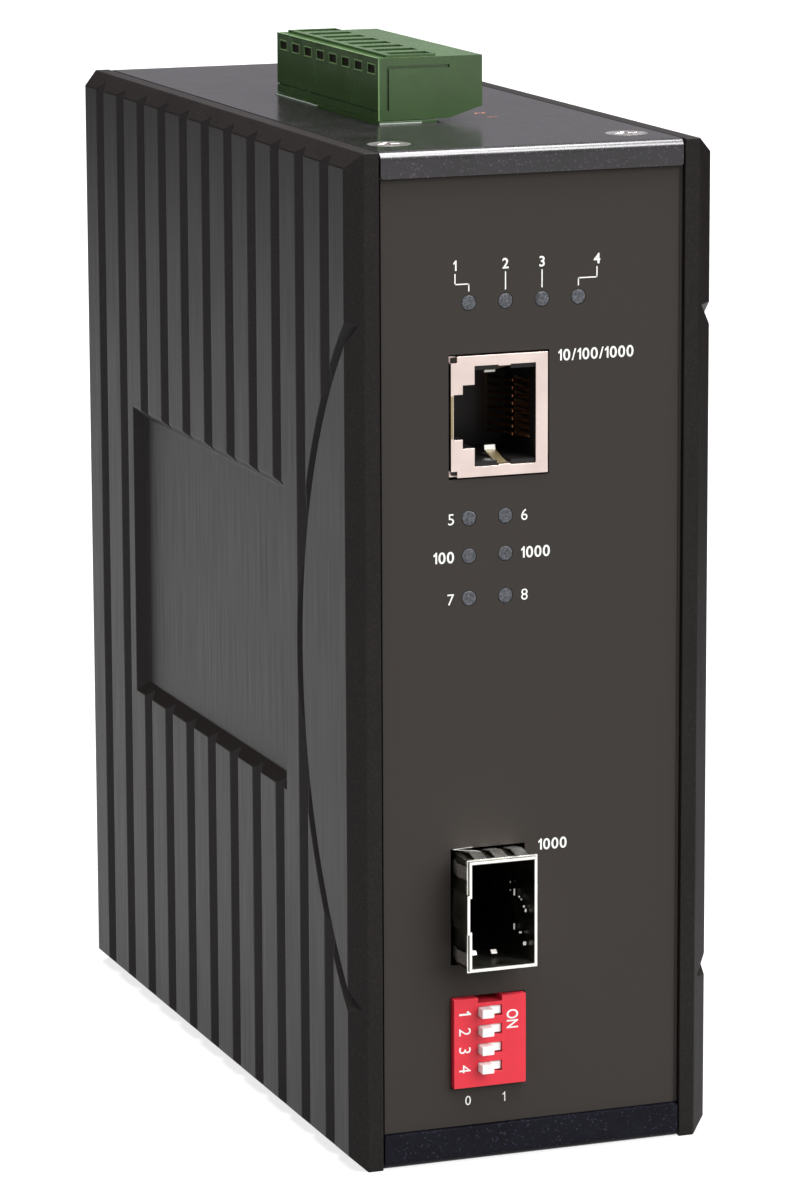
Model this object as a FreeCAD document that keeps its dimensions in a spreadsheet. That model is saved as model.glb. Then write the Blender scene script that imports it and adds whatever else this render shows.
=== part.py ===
import FreeCAD, Part
import os
import re
import Sketcher

# Fibre media converter for a 35 mm rail. The origin is the centre of the bottom face,
# +X points right as seen from the front, +Y to the rear and +Z up. Millimetres.

SIZES = [
    # overall housing, over the two side covers
    ("case_width", 51.0),
    ("case_depth", 115.0),
    ("case_height", 135.0),
    # side covers: die-cast trays with a chamfered, grooved outer face
    ("cover_rim", 4.3),
    ("cover_wall", 2.8),
    ("cover_frame", 4.0),
    ("chamfer_in", 2.2),
    ("chamfer_front", 1.7),
    ("chamfer_top", 2.0),
    ("groove_count", 11),
    ("groove_pitch", 9.7),
    ("groove_width", 3.5),
    ("groove_depth", 1.0),
    ("recess_front", 25.5),
    ("recess_length", 66.5),
    ("recess_height", 42.0),
    ("recess_depth", 1.5),
    ("recess_slope", 1.5),
    ("arc_reach", 19.7),
    ("arc_radius", 63.4),
    ("arc_width", 2.0),
    ("arc_depth", 1.6),
    ("land_start", 4.0),
    # lugs inside the covers, which take the housing screws
    ("lug_reach", 13.8),
    ("lug_length", 9.0),
    ("lug_height", 6.0),
    # folded top and bottom plates
    ("plate_thickness", 1.0),
    ("plate_gap", 0.2),
    ("bend_radius", 1.2),
    ("top_flange", 3.5),
    ("bottom_flange", 4.7),
    ("flange_corner", 0.4),
    # front and rear panels, and the printed film on the front
    ("panel_thickness", 1.2),
    ("panel_gap", 0.3),
    ("return_length", 8.0),
    ("return_width", 19.0),
    ("film_thickness", 0.3),
    ("film_gap", 0.1),
    # countersunk housing screws
    ("screw_inset", 8.9),
    ("screw_setback", 8.8),
    ("screw_radius", 1.5),
    ("screw_length", 6.0),
    ("head_radius", 2.85),
    ("cross_reach", 1.5),
    ("cross_width", 0.6),
    ("cross_depth", 0.9),
    ("fit_gap", 0.05),
    # circuit board, upright on the left, parts facing right
    ("board_side", 11.3),
    ("board_thickness", 1.6),
    ("board_setback", 4.5),
    ("board_tail", 12.5),
    ("board_length", "=case_depth - board_setback - board_tail"),
    ("board_bottom", 9.0),
    ("board_height", "=case_height - 2 * board_bottom"),
    ("spacer_half", 2.75),
    ("spacer_edge", 5.0),
    ("board_screw_radius", 1.25),
    ("board_screw_head", 2.4),
    ("board_screw_head_height", 1.6),
    ("board_screw_length", 7.0),
    # copper port: shielded jack on its side
    ("jack_width", 13.5),
    ("jack_height", 15.9),
    ("jack_depth", 21.3),
    ("jack_drop", 42.8),
    ("jack_bottom", "=case_height - jack_drop"),
    ("jack_setback", 0.5),
    ("jack_shell", 0.3),
    ("jack_hole_gap", 0.25),
    ("mouth_far", 1.7),
    ("mouth_width", 8.5),
    ("mouth_height", 13.2),
    ("step_width", 1.65),
    ("step_height", 8.3),
    ("latch_width", 1.25),
    ("latch_height", 5.9),
    ("tab_width", 1.7),
    ("tab_height", 0.4),
    ("tab_offset", 5.2),
    ("tab_length", 6.0),
    ("tab_gap", 0.1),
    ("corner_notch", 0.85),
    ("plug_height", 12.0),
    ("plug_depth", 12.5),
    ("contact_pitch", 1.016),
    ("contact_width", 0.45),
    ("contact_thickness", 0.35),
    ("contact_relief", 0.6),
    ("contact_setback", 2.8),
    ("contact_root", 6.0),
    ("contact_reach", 3.6),
    ("contact_length", 7.5),
    # fibre port: cage for a pluggable optical module
    ("cage_width", 9.5),
    ("cage_height", 14.8),
    ("cage_bottom", 27.4),
    ("cage_stand", 0.4),
    ("cage_front", 4.9),
    ("cage_length", 47.9),
    ("cage_wall", 0.4),
    ("cage_hole_gap", 0.5),
    ("key_bottom", 5.0),
    ("key_height", 5.3),
    ("key_step", 0.3),
    ("key_length", 10.0),
    ("finger_thickness", 0.2),
    ("finger_width", 1.7),
    ("finger_pitch", 2.9),
    ("finger_bulge", 0.45),
    ("finger_length", 5.1),
    ("band_setback", 0.4),
    ("band_length", 0.5),
    ("socket_length", 6.0),
    ("socket_width", 7.0),
    ("socket_height", 12.0),
    ("socket_slot", 1.4),
    ("socket_rim", 1.0),
    ("socket_slot_depth", 3.6),
    ("socket_middle", 4.2),
    ("leg_size", 0.6),
    ("leg_pitch", 11.0),
    ("leg_setback", 8.0),
    # four-way slide switch
    ("switch_width", 10.2),
    ("switch_height", 12.2),
    ("switch_bottom", 10.2),
    ("switch_proud", 0.2),
    ("switch_depth", 6.4),
    ("switch_hole_gap", 0.15),
    ("switch_pitch", 2.54),
    ("switch_rise", 0.35),
    ("switch_notch_width", 3.4),
    ("switch_notch_depth", 0.7),
    ("slot_left", 3.4),
    ("slot_length", 3.4),
    ("slot_height", 1.4),
    ("slot_lip", 0.25),
    ("slider_base", 0.8),
    ("slider_gap", 0.1),
    ("knob_length", 1.7),
    ("knob_proud", 1.5),
    ("slider_travel", 1.6),
    # indicator lights
    ("led_radius", 1.0),
    ("led_gap", 0.05),
    ("led_slot_gap", 0.2),
    ("led_tail", 0.6),
    ("led_proud", 0.05),
    ("led_pitch", 5.08),
    ("led_stand", 2.55),
    ("led_top_drop", 20.0),
    ("led_one_drop", 5.4),
    ("led_two_drop", 10.4),
    ("led_three_drop", 16.0),
    ("led_row_top", "=case_height - led_top_drop"),
    ("led_row_one", "=jack_bottom - led_one_drop"),
    ("led_row_two", "=jack_bottom - led_two_drop"),
    ("led_row_three", "=jack_bottom - led_three_drop"),
    ("led_holder_depth", 6.0),
    ("led_holder_half", 2.2),
    # pluggable terminal block
    ("pole_count", 8),
    ("pole_pitch", 5.08),
    ("block_setback", 30.6),
    ("block_margin", 0.2),
    ("block_left", 10.0),
    ("block_width", 14.8),
    ("block_height", 8.3),
    ("block_seat", 0.1),
    ("slant_width", 4.8),
    ("slant_height", 1.5),
    ("roof_height", 0.35),
    ("roof_left", 1.4),
    ("roof_width", 7.0),
    ("entry_left", 2.3),
    ("entry_width", 5.8),
    ("entry_length", 2.8),
    ("window_length", 2.8),
    ("window_height", 1.15),
    ("window_drop", 1.0),
    ("window_depth", 1.1),
    ("clamp_level", 4.2),
    ("clamp_height", 3.4),
    ("clamp_half", 1.75),
    ("clamp_wall", 0.6),
    ("clamp_nut", 1.0),
    ("clamp_left", 1.8),
    ("clamp_length", 6.6),
    ("clamp_travel", 1.5),
    ("clamp_gap", 0.2),
    ("clamp_screw_radius", 1.1),
    ("clamp_head_radius", 1.6),
    ("clamp_head_length", 1.6),
    ("clamp_head_sink", 0.6),
    ("clamp_slot_width", 0.5),
    ("clamp_slot_depth", 0.6),
    ("bar_left", 5.3),
    ("bar_thickness", 0.8),
    ("bar_half", 0.9),
    ("tongue_left", 1.2),
    ("tongue_width", 5.8),
    ("tongue_length", 7.9),
    ("tongue_margin", 1.2),
    ("bridge_drop", 1.0),
    ("prong_inset", 0.3),
    ("strip_width", 1.1),
    ("seam_rise", 1.3),
    ("mark_width", 0.4),
    ("mark_depth", 0.3),
    ("mark_length", 9.0),
    ("header_proud", 0.35),
    ("header_wall", 1.0),
    ("header_end", 0.3),
    ("header_width", 8.2),
    ("header_depth", 12.5),
    ("header_floor", 2.4),
    ("header_foot", 8.0),
    ("header_hole_gap", 0.3),
    ("pin_side", 6.0),
    ("pin_size", 1.0),
    ("pin_tip", 3.0),
    ("pin_drop", 1.2),
    ("pin_through", 1.0),
    ("prong_thickness", 0.4),
    ("prong_gap", 0.2),
    # inner electronics
    ("chip_level", 65.0),
    ("chip_size", 14.0),
    ("chip_height", 1.4),
    ("magnetics_setback", 24.0),
    ("magnetics_length", 16.0),
    ("magnetics_width", 13.0),
    ("magnetics_height", 6.0),
    ("capacitor_setback", 24.0),
    ("capacitor_drop", 35.0),
    ("capacitor_pitch", 12.0),
    ("capacitor_radius", 4.0),
    ("capacitor_height", 11.5),
    ("coil_setback", 26.0),
    ("coil_drop", 67.0),
    ("coil_radius", 6.0),
    ("coil_height", 6.5),
    ("relay_setback", 36.0),
    ("relay_level", 36.0),
    ("relay_length", 15.4),
    ("relay_width", 7.6),
    ("relay_height", 10.0),
    # rail clip on the back
    ("clip_width", 35.0),
    ("clip_rise", 0.5),
    ("clip_bottom", "=case_height / 2 + clip_rise"),
    ("clip_thickness", 1.5),
    ("rail_height", 35.0),
    ("rail_slot", 1.7),
    ("hook_low", 4.0),
    ("hook_high", 6.5),
    ("spring_room", 3.2),
    ("spring_gap", 0.2),
    ("spring_sag", 2.6),
    ("spring_thickness", 0.5),
    ("spring_half", 14.0),
    ("spring_foot", 2.5),
    ("spring_middle", 5.0),
    ("spring_width", 1.3),
    ("clip_screw_side", 10.0),
    ("clip_screw_length", 6.0),
]

NODES = {}

doc = FreeCAD.newDocument("media_converter")
sheet = doc.addObject("Spreadsheet::Sheet", "Sizes")
for row, (alias, amount) in enumerate(SIZES, start=1):
    sheet.set(f"A{row}", alias)
    sheet.set(f"B{row}", str(amount))
    sheet.setAlias(f"B{row}", alias)
doc.recompute()

ALIASES = re.compile(r"\b(" + "|".join(alias for alias, amount in SIZES) + r")\b")

# places that many pieces share, as expressions of the sizes
FRONT = "(-case_depth / 2)"
REAR = "(case_depth / 2)"
SIDE = "(case_width / 2)"
INNER = "(case_width / 2 - cover_rim)"
TOP = "case_height"
PLATE_HALF = "(case_width / 2 - cover_rim - plate_gap)"
PANEL_HALF = "(case_width / 2 - cover_rim - panel_gap)"
SCREW_X = "(case_width / 2 - screw_inset)"
FILM_FACE = f"({FRONT} + plate_thickness - film_thickness)"
PANEL_FACE = f"({FRONT} + plate_thickness)"
PANEL_BACK = f"({FRONT} + plate_thickness + panel_thickness)"
BOARD = "(-board_side)"
BOARD_BACK = "(-board_side - board_thickness)"
JACK_MIDDLE = "(jack_bottom + jack_height / 2)"
MOUTH_RIGHT = f"({BOARD} + jack_width - mouth_far)"
CAGE_LEFT = f"({BOARD} + cage_stand)"
CAGE_FACE = f"({FRONT} - cage_front)"
CAGE_MIDDLE = "(cage_bottom + cage_height / 2)"
SWITCH_FACE = f"({FRONT} - switch_proud)"
SLOT_LEFT = f"({BOARD} + slot_left)"
BLOCK_FRONT = f"({FRONT} + block_setback)"
BLOCK_LENGTH = "(pole_pitch * pole_count + 2 * block_margin)"
FIRST_POLE = f"({BLOCK_FRONT} + block_margin + pole_pitch / 2)"
BLOCK_LEFT = "(-block_left)"
BLOCK_RIGHT = "(block_width - block_left)"
BLOCK_BASE = "(case_height + header_proud + block_seat)"
BLOCK_TOP = f"({BLOCK_BASE} + block_height)"
CLAMP_Z = f"({BLOCK_BASE} + clamp_level)"
CLAMP_LEFT = f"({BLOCK_LEFT} + clamp_left)"
CLAMP_RIGHT = f"({CLAMP_LEFT} + clamp_length)"
CAVITY_RIGHT = f"({CLAMP_RIGHT} + clamp_travel + clamp_gap)"
BAR_LEFT = f"({BLOCK_LEFT} + bar_left)"
BAR_RIGHT = f"({BLOCK_LEFT} + bar_left + bar_thickness)"
TONGUE_LEFT = f"({BLOCK_LEFT} + tongue_left)"
TONGUE_BASE = f"({BLOCK_BASE} - tongue_length)"
HEADER_TOP = "(case_height + header_proud)"
HEADER_BASE = f"({HEADER_TOP} - header_depth)"
HEADER_FRONT = f"({BLOCK_FRONT} - header_end)"
HEADER_BACK = f"({BLOCK_FRONT} + {BLOCK_LENGTH} + header_end)"
PIN_X = "(-pin_side)"
CLIP_Y = f"({REAR} - plate_thickness)"
CLIP_HEIGHT = "(rail_height + spring_room + 2 * clip_thickness)"
CLIP_MIDDLE = f"(clip_bottom + {CLIP_HEIGHT} / 2)"
LEG_FIRST = f"({FRONT} + leg_setback)"
LEG_LOW = "(cage_bottom + leg_size / 2)"
LEG_RISE = "(cage_height - leg_size)"
LED_PLACES_TOP = [(f"({BOARD} + led_stand + {i} * led_pitch)", "led_row_top") for i in range(4)]
LED_PLACES_LOW = [(f"({BOARD} + led_stand + {i} * led_pitch)", row)
                  for row in ("led_row_one", "led_row_two", "led_row_three") for i in range(2)]


def in_sheet(text):
    """The expression with each size named as the sheet's cell."""
    return ALIASES.sub(r"Sizes.\1", str(text))


def number(text):
    """The value that an expression has now."""
    return float(sheet.evalExpression(str(text)))


def bind(thing, prop, text):
    thing.setExpression(prop, in_sheet(text))


def new_body(name):
    body = doc.addObject("PartDesign::Body", name)
    body.Label = name
    NODES[name] = body
    return body


def origin_part(body, role):
    return next(item for item in body.Origin.OriginFeatures if item.Role == role)


def new_sketch(body, name, plane, place):
    """A sketch on one of the body's own origin planes, moved to place along that plane's axis."""
    sketch = body.newObject("Sketcher::SketchObject", name)
    sketch.AttachmentSupport = (origin_part(body, plane + "_Plane"), [""])
    sketch.MapMode = "FlatFace"
    sign = "-" if plane == "XZ" else ""
    bind(sketch, "AttachmentOffset.Base.z", f"{sign}({place})")
    return sketch


def tie(sketch, kinds):
    """Adds one constraint per (kind, geometry, point, expression) and binds each to the sheet."""
    for kind, item, point, text in kinds:
        if kind == "Radius":
            index = sketch.addConstraint(Sketcher.Constraint(kind, item, number(text)))
        else:
            index = sketch.addConstraint(Sketcher.Constraint(kind, -1, 1, item, point, number(text)))
        bind(sketch, f"Constraints[{index}]", text)


def draw_polygon(sketch, points):
    """A closed outline whose corners are tied to the sketch's origin."""
    first = sketch.GeometryCount
    count = len(points)
    corners = [FreeCAD.Vector(number(x), number(y), 0) for x, y in points]
    lines = [Part.LineSegment(corners[i], corners[(i + 1) % count]) for i in range(count)]
    sketch.addGeometry(lines, False)
    joins = [Sketcher.Constraint("Coincident", first + i, 2, first + (i + 1) % count, 1)
             for i in range(count)]
    sketch.addConstraint(joins)
    tie(sketch, [("DistanceX", first + i, 1, x) for i, (x, y) in enumerate(points)])
    tie(sketch, [("DistanceY", first + i, 1, y) for i, (x, y) in enumerate(points)])


def draw_disc(sketch, x, y, radius):
    centre = FreeCAD.Vector(number(x), number(y), 0)
    item = sketch.addGeometry(Part.Circle(centre, FreeCAD.Vector(0, 0, 1), number(radius)), False)
    tie(sketch, [("DistanceX", item, 3, x), ("DistanceY", item, 3, y), ("Radius", item, 0, radius)])


def polygon(*points):
    return lambda sketch: draw_polygon(sketch, points)


def rect(left, right, low, high):
    return polygon((left, low), (right, low), (right, high), (left, high))


def disc(x, y, radius):
    return lambda sketch: draw_disc(sketch, x, y, radius)


def hexagon(x, y, half):
    """A hexagon with two flats above and below, half away from its middle."""
    corner = f"({half} * 2 / sqrt(3))"
    return polygon((f"{x} + {corner}", y), (f"{x} + {corner} / 2", f"{y} + {half}"),
                   (f"{x} - {corner} / 2", f"{y} + {half}"), (f"{x} - {corner}", y),
                   (f"{x} - {corner} / 2", f"{y} - {half}"),
                   (f"{x} + {corner} / 2", f"{y} - {half}"))


def cross(x, y, reach, width):
    """The outline of a cross-head recess."""
    half = f"({width}) / 2"
    near = [(f"{x} + {half}", f"{y} + {half}"), (f"{x} + {half}", f"{y} + {reach}"),
            (f"{x} - {half}", f"{y} + {reach}"), (f"{x} - {half}", f"{y} + {half}")]
    left = [(f"{x} - {reach}", f"{y} + {half}"), (f"{x} - {reach}", f"{y} - {half}"),
            (f"{x} - {half}", f"{y} - {half}"), (f"{x} - {half}", f"{y} - {reach}")]
    right = [(f"{x} + {half}", f"{y} - {reach}"), (f"{x} + {half}", f"{y} - {half}"),
             (f"{x} + {reach}", f"{y} - {half}"), (f"{x} + {reach}", f"{y} + {half}")]
    return polygon(*near, *left, *right)


def finish_feature(body, feature, before, cut):
    """Recomputes, and stops if the feature changed the solid the wrong way or not at all."""
    doc.recompute()
    after = feature.Shape.Volume if not feature.Shape.isNull() else 0.0
    if (after >= before - 1e-6) if cut else (after <= before + 1e-6):
        raise RuntimeError(f"{body.Label}: {feature.Name} changed nothing")
    body.Tip = feature
    return feature


def volume_of(body):
    return body.Tip.Shape.Volume if body.Tip is not None else 0.0


def extrude(body, name, plane, low, high, *outlines, cut=False):
    """Adds or cuts the outlines, drawn on plane, between two places along that plane's axis."""
    before = volume_of(body)
    start = high if (plane == "XZ") != cut else low
    sketch = new_sketch(body, name + "_outline", plane, start)
    for outline in outlines:
        outline(sketch)
    kind = "PartDesign::Pocket" if cut else "PartDesign::Pad"
    feature = body.newObject(kind, name)
    feature.Profile = sketch
    bind(feature, "Length", f"({high}) - ({low})")
    return finish_feature(body, feature, before, cut)


def revolve(body, name, plane, place, axis, outline, cut=False):
    """Turns the outline about a line: axis is ("across", height) or ("up", side)."""
    before = volume_of(body)
    sketch = new_sketch(body, name + "_outline", plane, place)
    outline(sketch)
    way, at = axis
    here = FreeCAD.Vector(0, number(at), 0) if way == "across" else FreeCAD.Vector(number(at), 0, 0)
    step = FreeCAD.Vector(1, 0, 0) if way == "across" else FreeCAD.Vector(0, 1, 0)
    line = sketch.addGeometry(Part.LineSegment(here, here + step), True)
    sketch.addConstraint(Sketcher.Constraint("Horizontal" if way == "across" else "Vertical", line))
    tie(sketch, [("DistanceX", line, 1, "0" if way == "across" else at),
                 ("DistanceY", line, 1, at if way == "across" else "0")])
    kind = "PartDesign::Groove" if cut else "PartDesign::Revolution"
    feature = body.newObject(kind, name)
    feature.Profile = sketch
    feature.ReferenceAxis = (sketch, ["Axis0"])
    feature.Angle = 360
    return finish_feature(body, feature, before, cut)


def loft(body, name, plane, sections, cut=False):
    """Adds or cuts a straight-sided loft through (place, outline) sections."""
    before = volume_of(body)
    sketches = []
    for index, (place, outline) in enumerate(sections):
        sketch = new_sketch(body, f"{name}_section_{index + 1}", plane, place)
        outline(sketch)
        sketches.append(sketch)
    kind = "PartDesign::SubtractiveLoft" if cut else "PartDesign::AdditiveLoft"
    feature = body.newObject(kind, name)
    feature.Profile = sketches[0]
    feature.Sections = sketches[1:]
    feature.Ruled = True
    return finish_feature(body, feature, before, cut)


def repeat(body, name, features, *ways, cut=False):
    """Copies features along one or two ways, each (axis, whole length, count)."""
    before = volume_of(body)
    pattern = body.newObject("PartDesign::LinearPattern", name)
    pattern.Originals = features
    for tail, (axis, length, count) in zip(("", "2"), ways):
        setattr(pattern, "Direction" + tail, (origin_part(body, axis + "_Axis"), [""]))
        bind(pattern, "Length" + tail, length)
        bind(pattern, "Occurrences" + tail, count)
    return finish_feature(body, pattern, before, cut)


def countersunk_holes(body, name, place, upward, places):
    """Countersunk holes in a sheet, drawn on its outer face."""
    before = volume_of(body)
    sketch = new_sketch(body, name + "_outline", "XY", place)
    for x, y in places:
        draw_disc(sketch, x, y, "screw_radius + fit_gap")
    hole = body.newObject("PartDesign::Hole", name)
    hole.Profile = sketch
    hole.ThreadType = "None"
    hole.DepthType = "ThroughAll"
    hole.HoleCutType = "Countersink"
    hole.Reversed = upward
    bind(hole, "Diameter", "2 * (screw_radius + fit_gap)")
    bind(hole, "HoleCutDiameter", "2 * (head_radius + fit_gap)")
    bind(hole, "HoleCutCountersinkAngle", "2 * atan((head_radius - screw_radius) / plate_thickness)")
    return finish_feature(body, hole, before, True)


def round_edges(body, name, radius, chosen):
    """Fillets the edges that chosen(edge) picks on the body's present shape."""
    base = body.Tip
    names = [f"Edge{i}" for i, edge in enumerate(base.Shape.Edges, start=1) if chosen(edge)]
    if not names:
        raise RuntimeError(f"{body.Label}: no edge for {name}")
    fillet = body.newObject("PartDesign::Fillet", name)
    fillet.Base = (base, names)
    bind(fillet, "Radius", radius)
    doc.recompute()
    body.Tip = fillet
    return fillet


def runs_along(edge, axis):
    """True for a straight edge parallel to the axis "x", "y" or "z"."""
    if len(edge.Vertexes) != 2:
        return False
    a, b = edge.Vertexes[0].Point, edge.Vertexes[1].Point
    return all(abs(getattr(a, other) - getattr(b, other)) < 1e-6 for other in "xyz" if other != axis)


def at(edge, axis, *texts):
    """True where the edge's middle lies at one of the given places along axis."""
    middle = getattr(edge.CenterOfMass, axis)
    return any(abs(middle - number(text)) < 1e-3 for text in texts)


def side_covers():
    """Die-cast side cover with rib grooves, a sunk field and a curved groove; its twin mirrors it."""
    cover = new_body("right_cover")
    face = f"{SIDE} - chamfer_in"
    extrude(cover, "tray", "YZ", INNER, face, rect(FRONT, REAR, "0", TOP))
    loft(cover, "chamfered_face", "YZ", [
        (face, rect(FRONT, REAR, "0", TOP)),
        (SIDE, rect(f"{FRONT} + chamfer_front", f"{REAR} - chamfer_front",
                    "chamfer_top", f"{TOP} - chamfer_top"))])
    first = "(-groove_pitch * (groove_count - 1) / 2)"
    groove = extrude(cover, "groove", "XY", "-1", f"{TOP} + 1", polygon(
        (f"{SIDE} - groove_depth", first),
        (f"{SIDE} + groove_depth", f"{first} + groove_width"),
        (f"{SIDE} + groove_depth", f"{first} - groove_width")), cut=True)
    repeat(cover, "grooves", [groove], ("Y", "groove_pitch * (groove_count - 1)", "groove_count"),
           cut=True)
    arc_land(cover)
    low = f"({TOP} / 2 - recess_height / 2)"
    high = f"({TOP} / 2 + recess_height / 2)"
    near = f"({FRONT} + recess_front)"
    far = f"({FRONT} + recess_front + recess_length)"
    loft(cover, "sunk_field", "YZ", [
        (f"{SIDE} - recess_depth", rect(f"{near} + recess_slope", f"{far} - recess_slope",
                                        f"{low} + recess_slope", f"{high} - recess_slope")),
        (SIDE, rect(near, far, low, high))], cut=True)
    apex = f"({FRONT} + arc_reach)"
    revolve(cover, "arc_groove", "XY", f"{TOP} / 2", ("across", f"{apex} - arc_radius"), polygon(
        (f"{SIDE} - arc_depth", apex),
        (f"{SIDE} + arc_depth", f"{apex} + arc_width"),
        (f"{SIDE} + arc_depth", f"{apex} - arc_width")), cut=True)
    extrude(cover, "hollow", "YZ", INNER, f"{SIDE} - cover_wall",
            rect(f"{FRONT} + cover_frame", f"{REAR} - cover_frame", "cover_frame",
                 f"{TOP} - cover_frame"), cut=True)
    lug_front = f"({FRONT} + screw_setback - lug_length / 2)"
    lug = extrude(cover, "lug", "YZ", f"{SIDE} - lug_reach", f"{SIDE} - cover_wall",
                  rect(lug_front, f"{lug_front} + lug_length", "plate_thickness",
                       "plate_thickness + lug_height"))
    repeat(cover, "low_lugs", [lug], ("Y", "case_depth - 2 * screw_setback", "2"))
    repeat(cover, "front_lugs", [lug], ("Z", "case_height - 2 * plate_thickness - lug_height", "2"))
    extrude(cover, "front_lug_holes", "XY", "0", TOP,
            disc(SCREW_X, f"{FRONT} + screw_setback", "screw_radius"), cut=True)
    extrude(cover, "rear_lug_hole", "XY", "0", "plate_thickness + lug_height",
            disc(SCREW_X, f"{REAR} - screw_setback", "screw_radius"), cut=True)
    mirror = doc.addObject("Part::Mirroring", "left_cover")
    mirror.Label = "left_cover"
    mirror.Source = cover
    mirror.Normal = FreeCAD.Vector(1, 0, 0)
    NODES["left_cover"] = mirror


def arc_land(cover):
    """Fills the rib grooves in front of the curved groove, up to a circular boundary."""
    before = volume_of(cover)
    sketch = new_sketch(cover, "land_outline", "YZ", f"{SIDE} - groove_depth")
    chord = f"({FRONT} + land_start)"
    middle = f"({FRONT} + arc_reach - arc_radius)"
    half = f"sqrt(arc_radius ^ 2 - ({chord} - {middle}) ^ 2)"
    low = FreeCAD.Vector(number(chord), number(f"{TOP} / 2 - {half}"), 0)
    high = FreeCAD.Vector(number(chord), number(f"{TOP} / 2 + {half}"), 0)
    apex = FreeCAD.Vector(number(f"{FRONT} + arc_reach"), number(f"{TOP} / 2"), 0)
    sketch.addGeometry([Part.Arc(low, apex, high), Part.LineSegment(high, low)], False)
    sketch.addConstraint([Sketcher.Constraint("Coincident", 0, 2, 1, 1),
                          Sketcher.Constraint("Coincident", 1, 2, 0, 1),
                          Sketcher.Constraint("Vertical", 1)])
    tie(sketch, [("DistanceX", 0, 3, middle), ("DistanceY", 0, 3, f"{TOP} / 2"),
                 ("Radius", 0, 0, "arc_radius"), ("DistanceX", 1, 1, chord)])
    pad = cover.newObject("PartDesign::Pad", "land")
    pad.Profile = sketch
    bind(pad, "Length", "groove_depth")
    finish_feature(cover, pad, before, False)


def folded_plate(name, upright, flange):
    """Top or bottom plate: a sheet with a short flange folded over the front and the rear panel."""
    plate = new_body(name)

    def level(depth):
        return f"({TOP} - ({depth}))" if upright else f"({depth})"

    inner = level("plate_thickness")
    edge = level(flange)
    extrude(plate, "sheet", "YZ", f"-{PLATE_HALF}", PLATE_HALF, polygon(
        (FRONT, edge), (FRONT, level("0")), (REAR, level("0")), (REAR, edge),
        (f"{REAR} - plate_thickness", edge), (f"{REAR} - plate_thickness", inner),
        (f"{FRONT} + plate_thickness", inner), (f"{FRONT} + plate_thickness", edge)))
    round_edges(plate, "outer_bends", "bend_radius",
                lambda line: runs_along(line, "x") and at(line, "z", level("0"))
                and at(line, "y", FRONT, REAR))
    round_edges(plate, "flange_corners", "flange_corner",
                lambda line: runs_along(line, "y") and at(line, "z", edge)
                and at(line, "x", f"-{PLATE_HALF}", PLATE_HALF))
    sides = (f"-{SCREW_X}", SCREW_X)
    ends = (f"{FRONT} + screw_setback", f"{REAR} - screw_setback")
    ends = ends[:1] if upright else ends
    countersunk_holes(plate, "screw_holes", level("0"), not upright,
                      [(x, y) for x in sides for y in ends])
    return plate


def plates():
    plate = folded_plate("top_plate", True, "top_flange")
    extrude(plate, "terminal_hole", "XY", f"{TOP} - plate_thickness", TOP,
            rect(f"{BLOCK_LEFT} - header_hole_gap", f"{BLOCK_LEFT} + header_width + header_hole_gap",
                 f"{HEADER_FRONT} - header_hole_gap", f"{HEADER_BACK} + header_hole_gap"), cut=True)
    folded_plate("bottom_plate", False, "bottom_flange")


def housing_screws(name, upright):
    """Countersunk screws into the covers' lugs: four below, and two above, at the front.

    The rear of the top plate hooks over the rear panel with its flange.
    """
    screws = new_body(name)
    x = f"-{SCREW_X}"

    def level(depth):
        return f"({TOP} - ({depth}))" if upright else f"({depth})"

    shape = revolve(screws, "screw", "XZ", f"{FRONT} + screw_setback", ("up", x), polygon(
        (x, level("0")), (f"{x} + head_radius", level("0")),
        (f"{x} + screw_radius", level("plate_thickness")),
        (f"{x} + screw_radius", level("screw_length")), (x, level("screw_length"))))
    ends = (level("cross_depth"), level("0"))
    low, high = ends if upright else ends[::-1]
    drive = extrude(screws, "cross_recess", "XY", low, high,
                    cross(x, f"{FRONT} + screw_setback", "cross_reach", "cross_width"), cut=True)
    ways = [("X", f"2 * {SCREW_X}", "2"), ("Y", "case_depth - 2 * screw_setback", "2")]
    repeat(screws, "screws", [shape, drive], *(ways[:1] if upright else ways))


def front_openings():
    """Outlines of the three ports, which pass through the front panel and its film."""
    step = "switch_hole_gap"
    jack = rect(f"{BOARD} - jack_hole_gap", f"{BOARD} + jack_width + jack_hole_gap",
                "jack_bottom - jack_hole_gap", "jack_bottom + jack_height + jack_hole_gap")
    cage = rect(f"{CAGE_LEFT} - cage_hole_gap", f"{CAGE_LEFT} + cage_width + cage_hole_gap",
                "cage_bottom - cage_hole_gap", "cage_bottom + cage_height + cage_hole_gap")
    switch = rect(f"{BOARD} - {step}", f"{BOARD} + switch_width + {step}",
                  f"switch_bottom - {step}", f"switch_bottom + switch_height + {step}")
    return [jack, cage, switch]


def light_slots():
    """One slot in the panel behind each row of lights; the film's round holes lie over it."""
    slots = []
    for row, count in (("led_row_top", 4), ("led_row_one", 2), ("led_row_two", 2),
                       ("led_row_three", 2)):
        half = "(led_radius + led_slot_gap)"
        slots.append(rect(f"{BOARD} + led_stand - {half}",
                          f"{BOARD} + led_stand + {count - 1} * led_pitch + {half}",
                          f"{row} - {half}", f"{row} + {half}"))
    return slots


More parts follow.
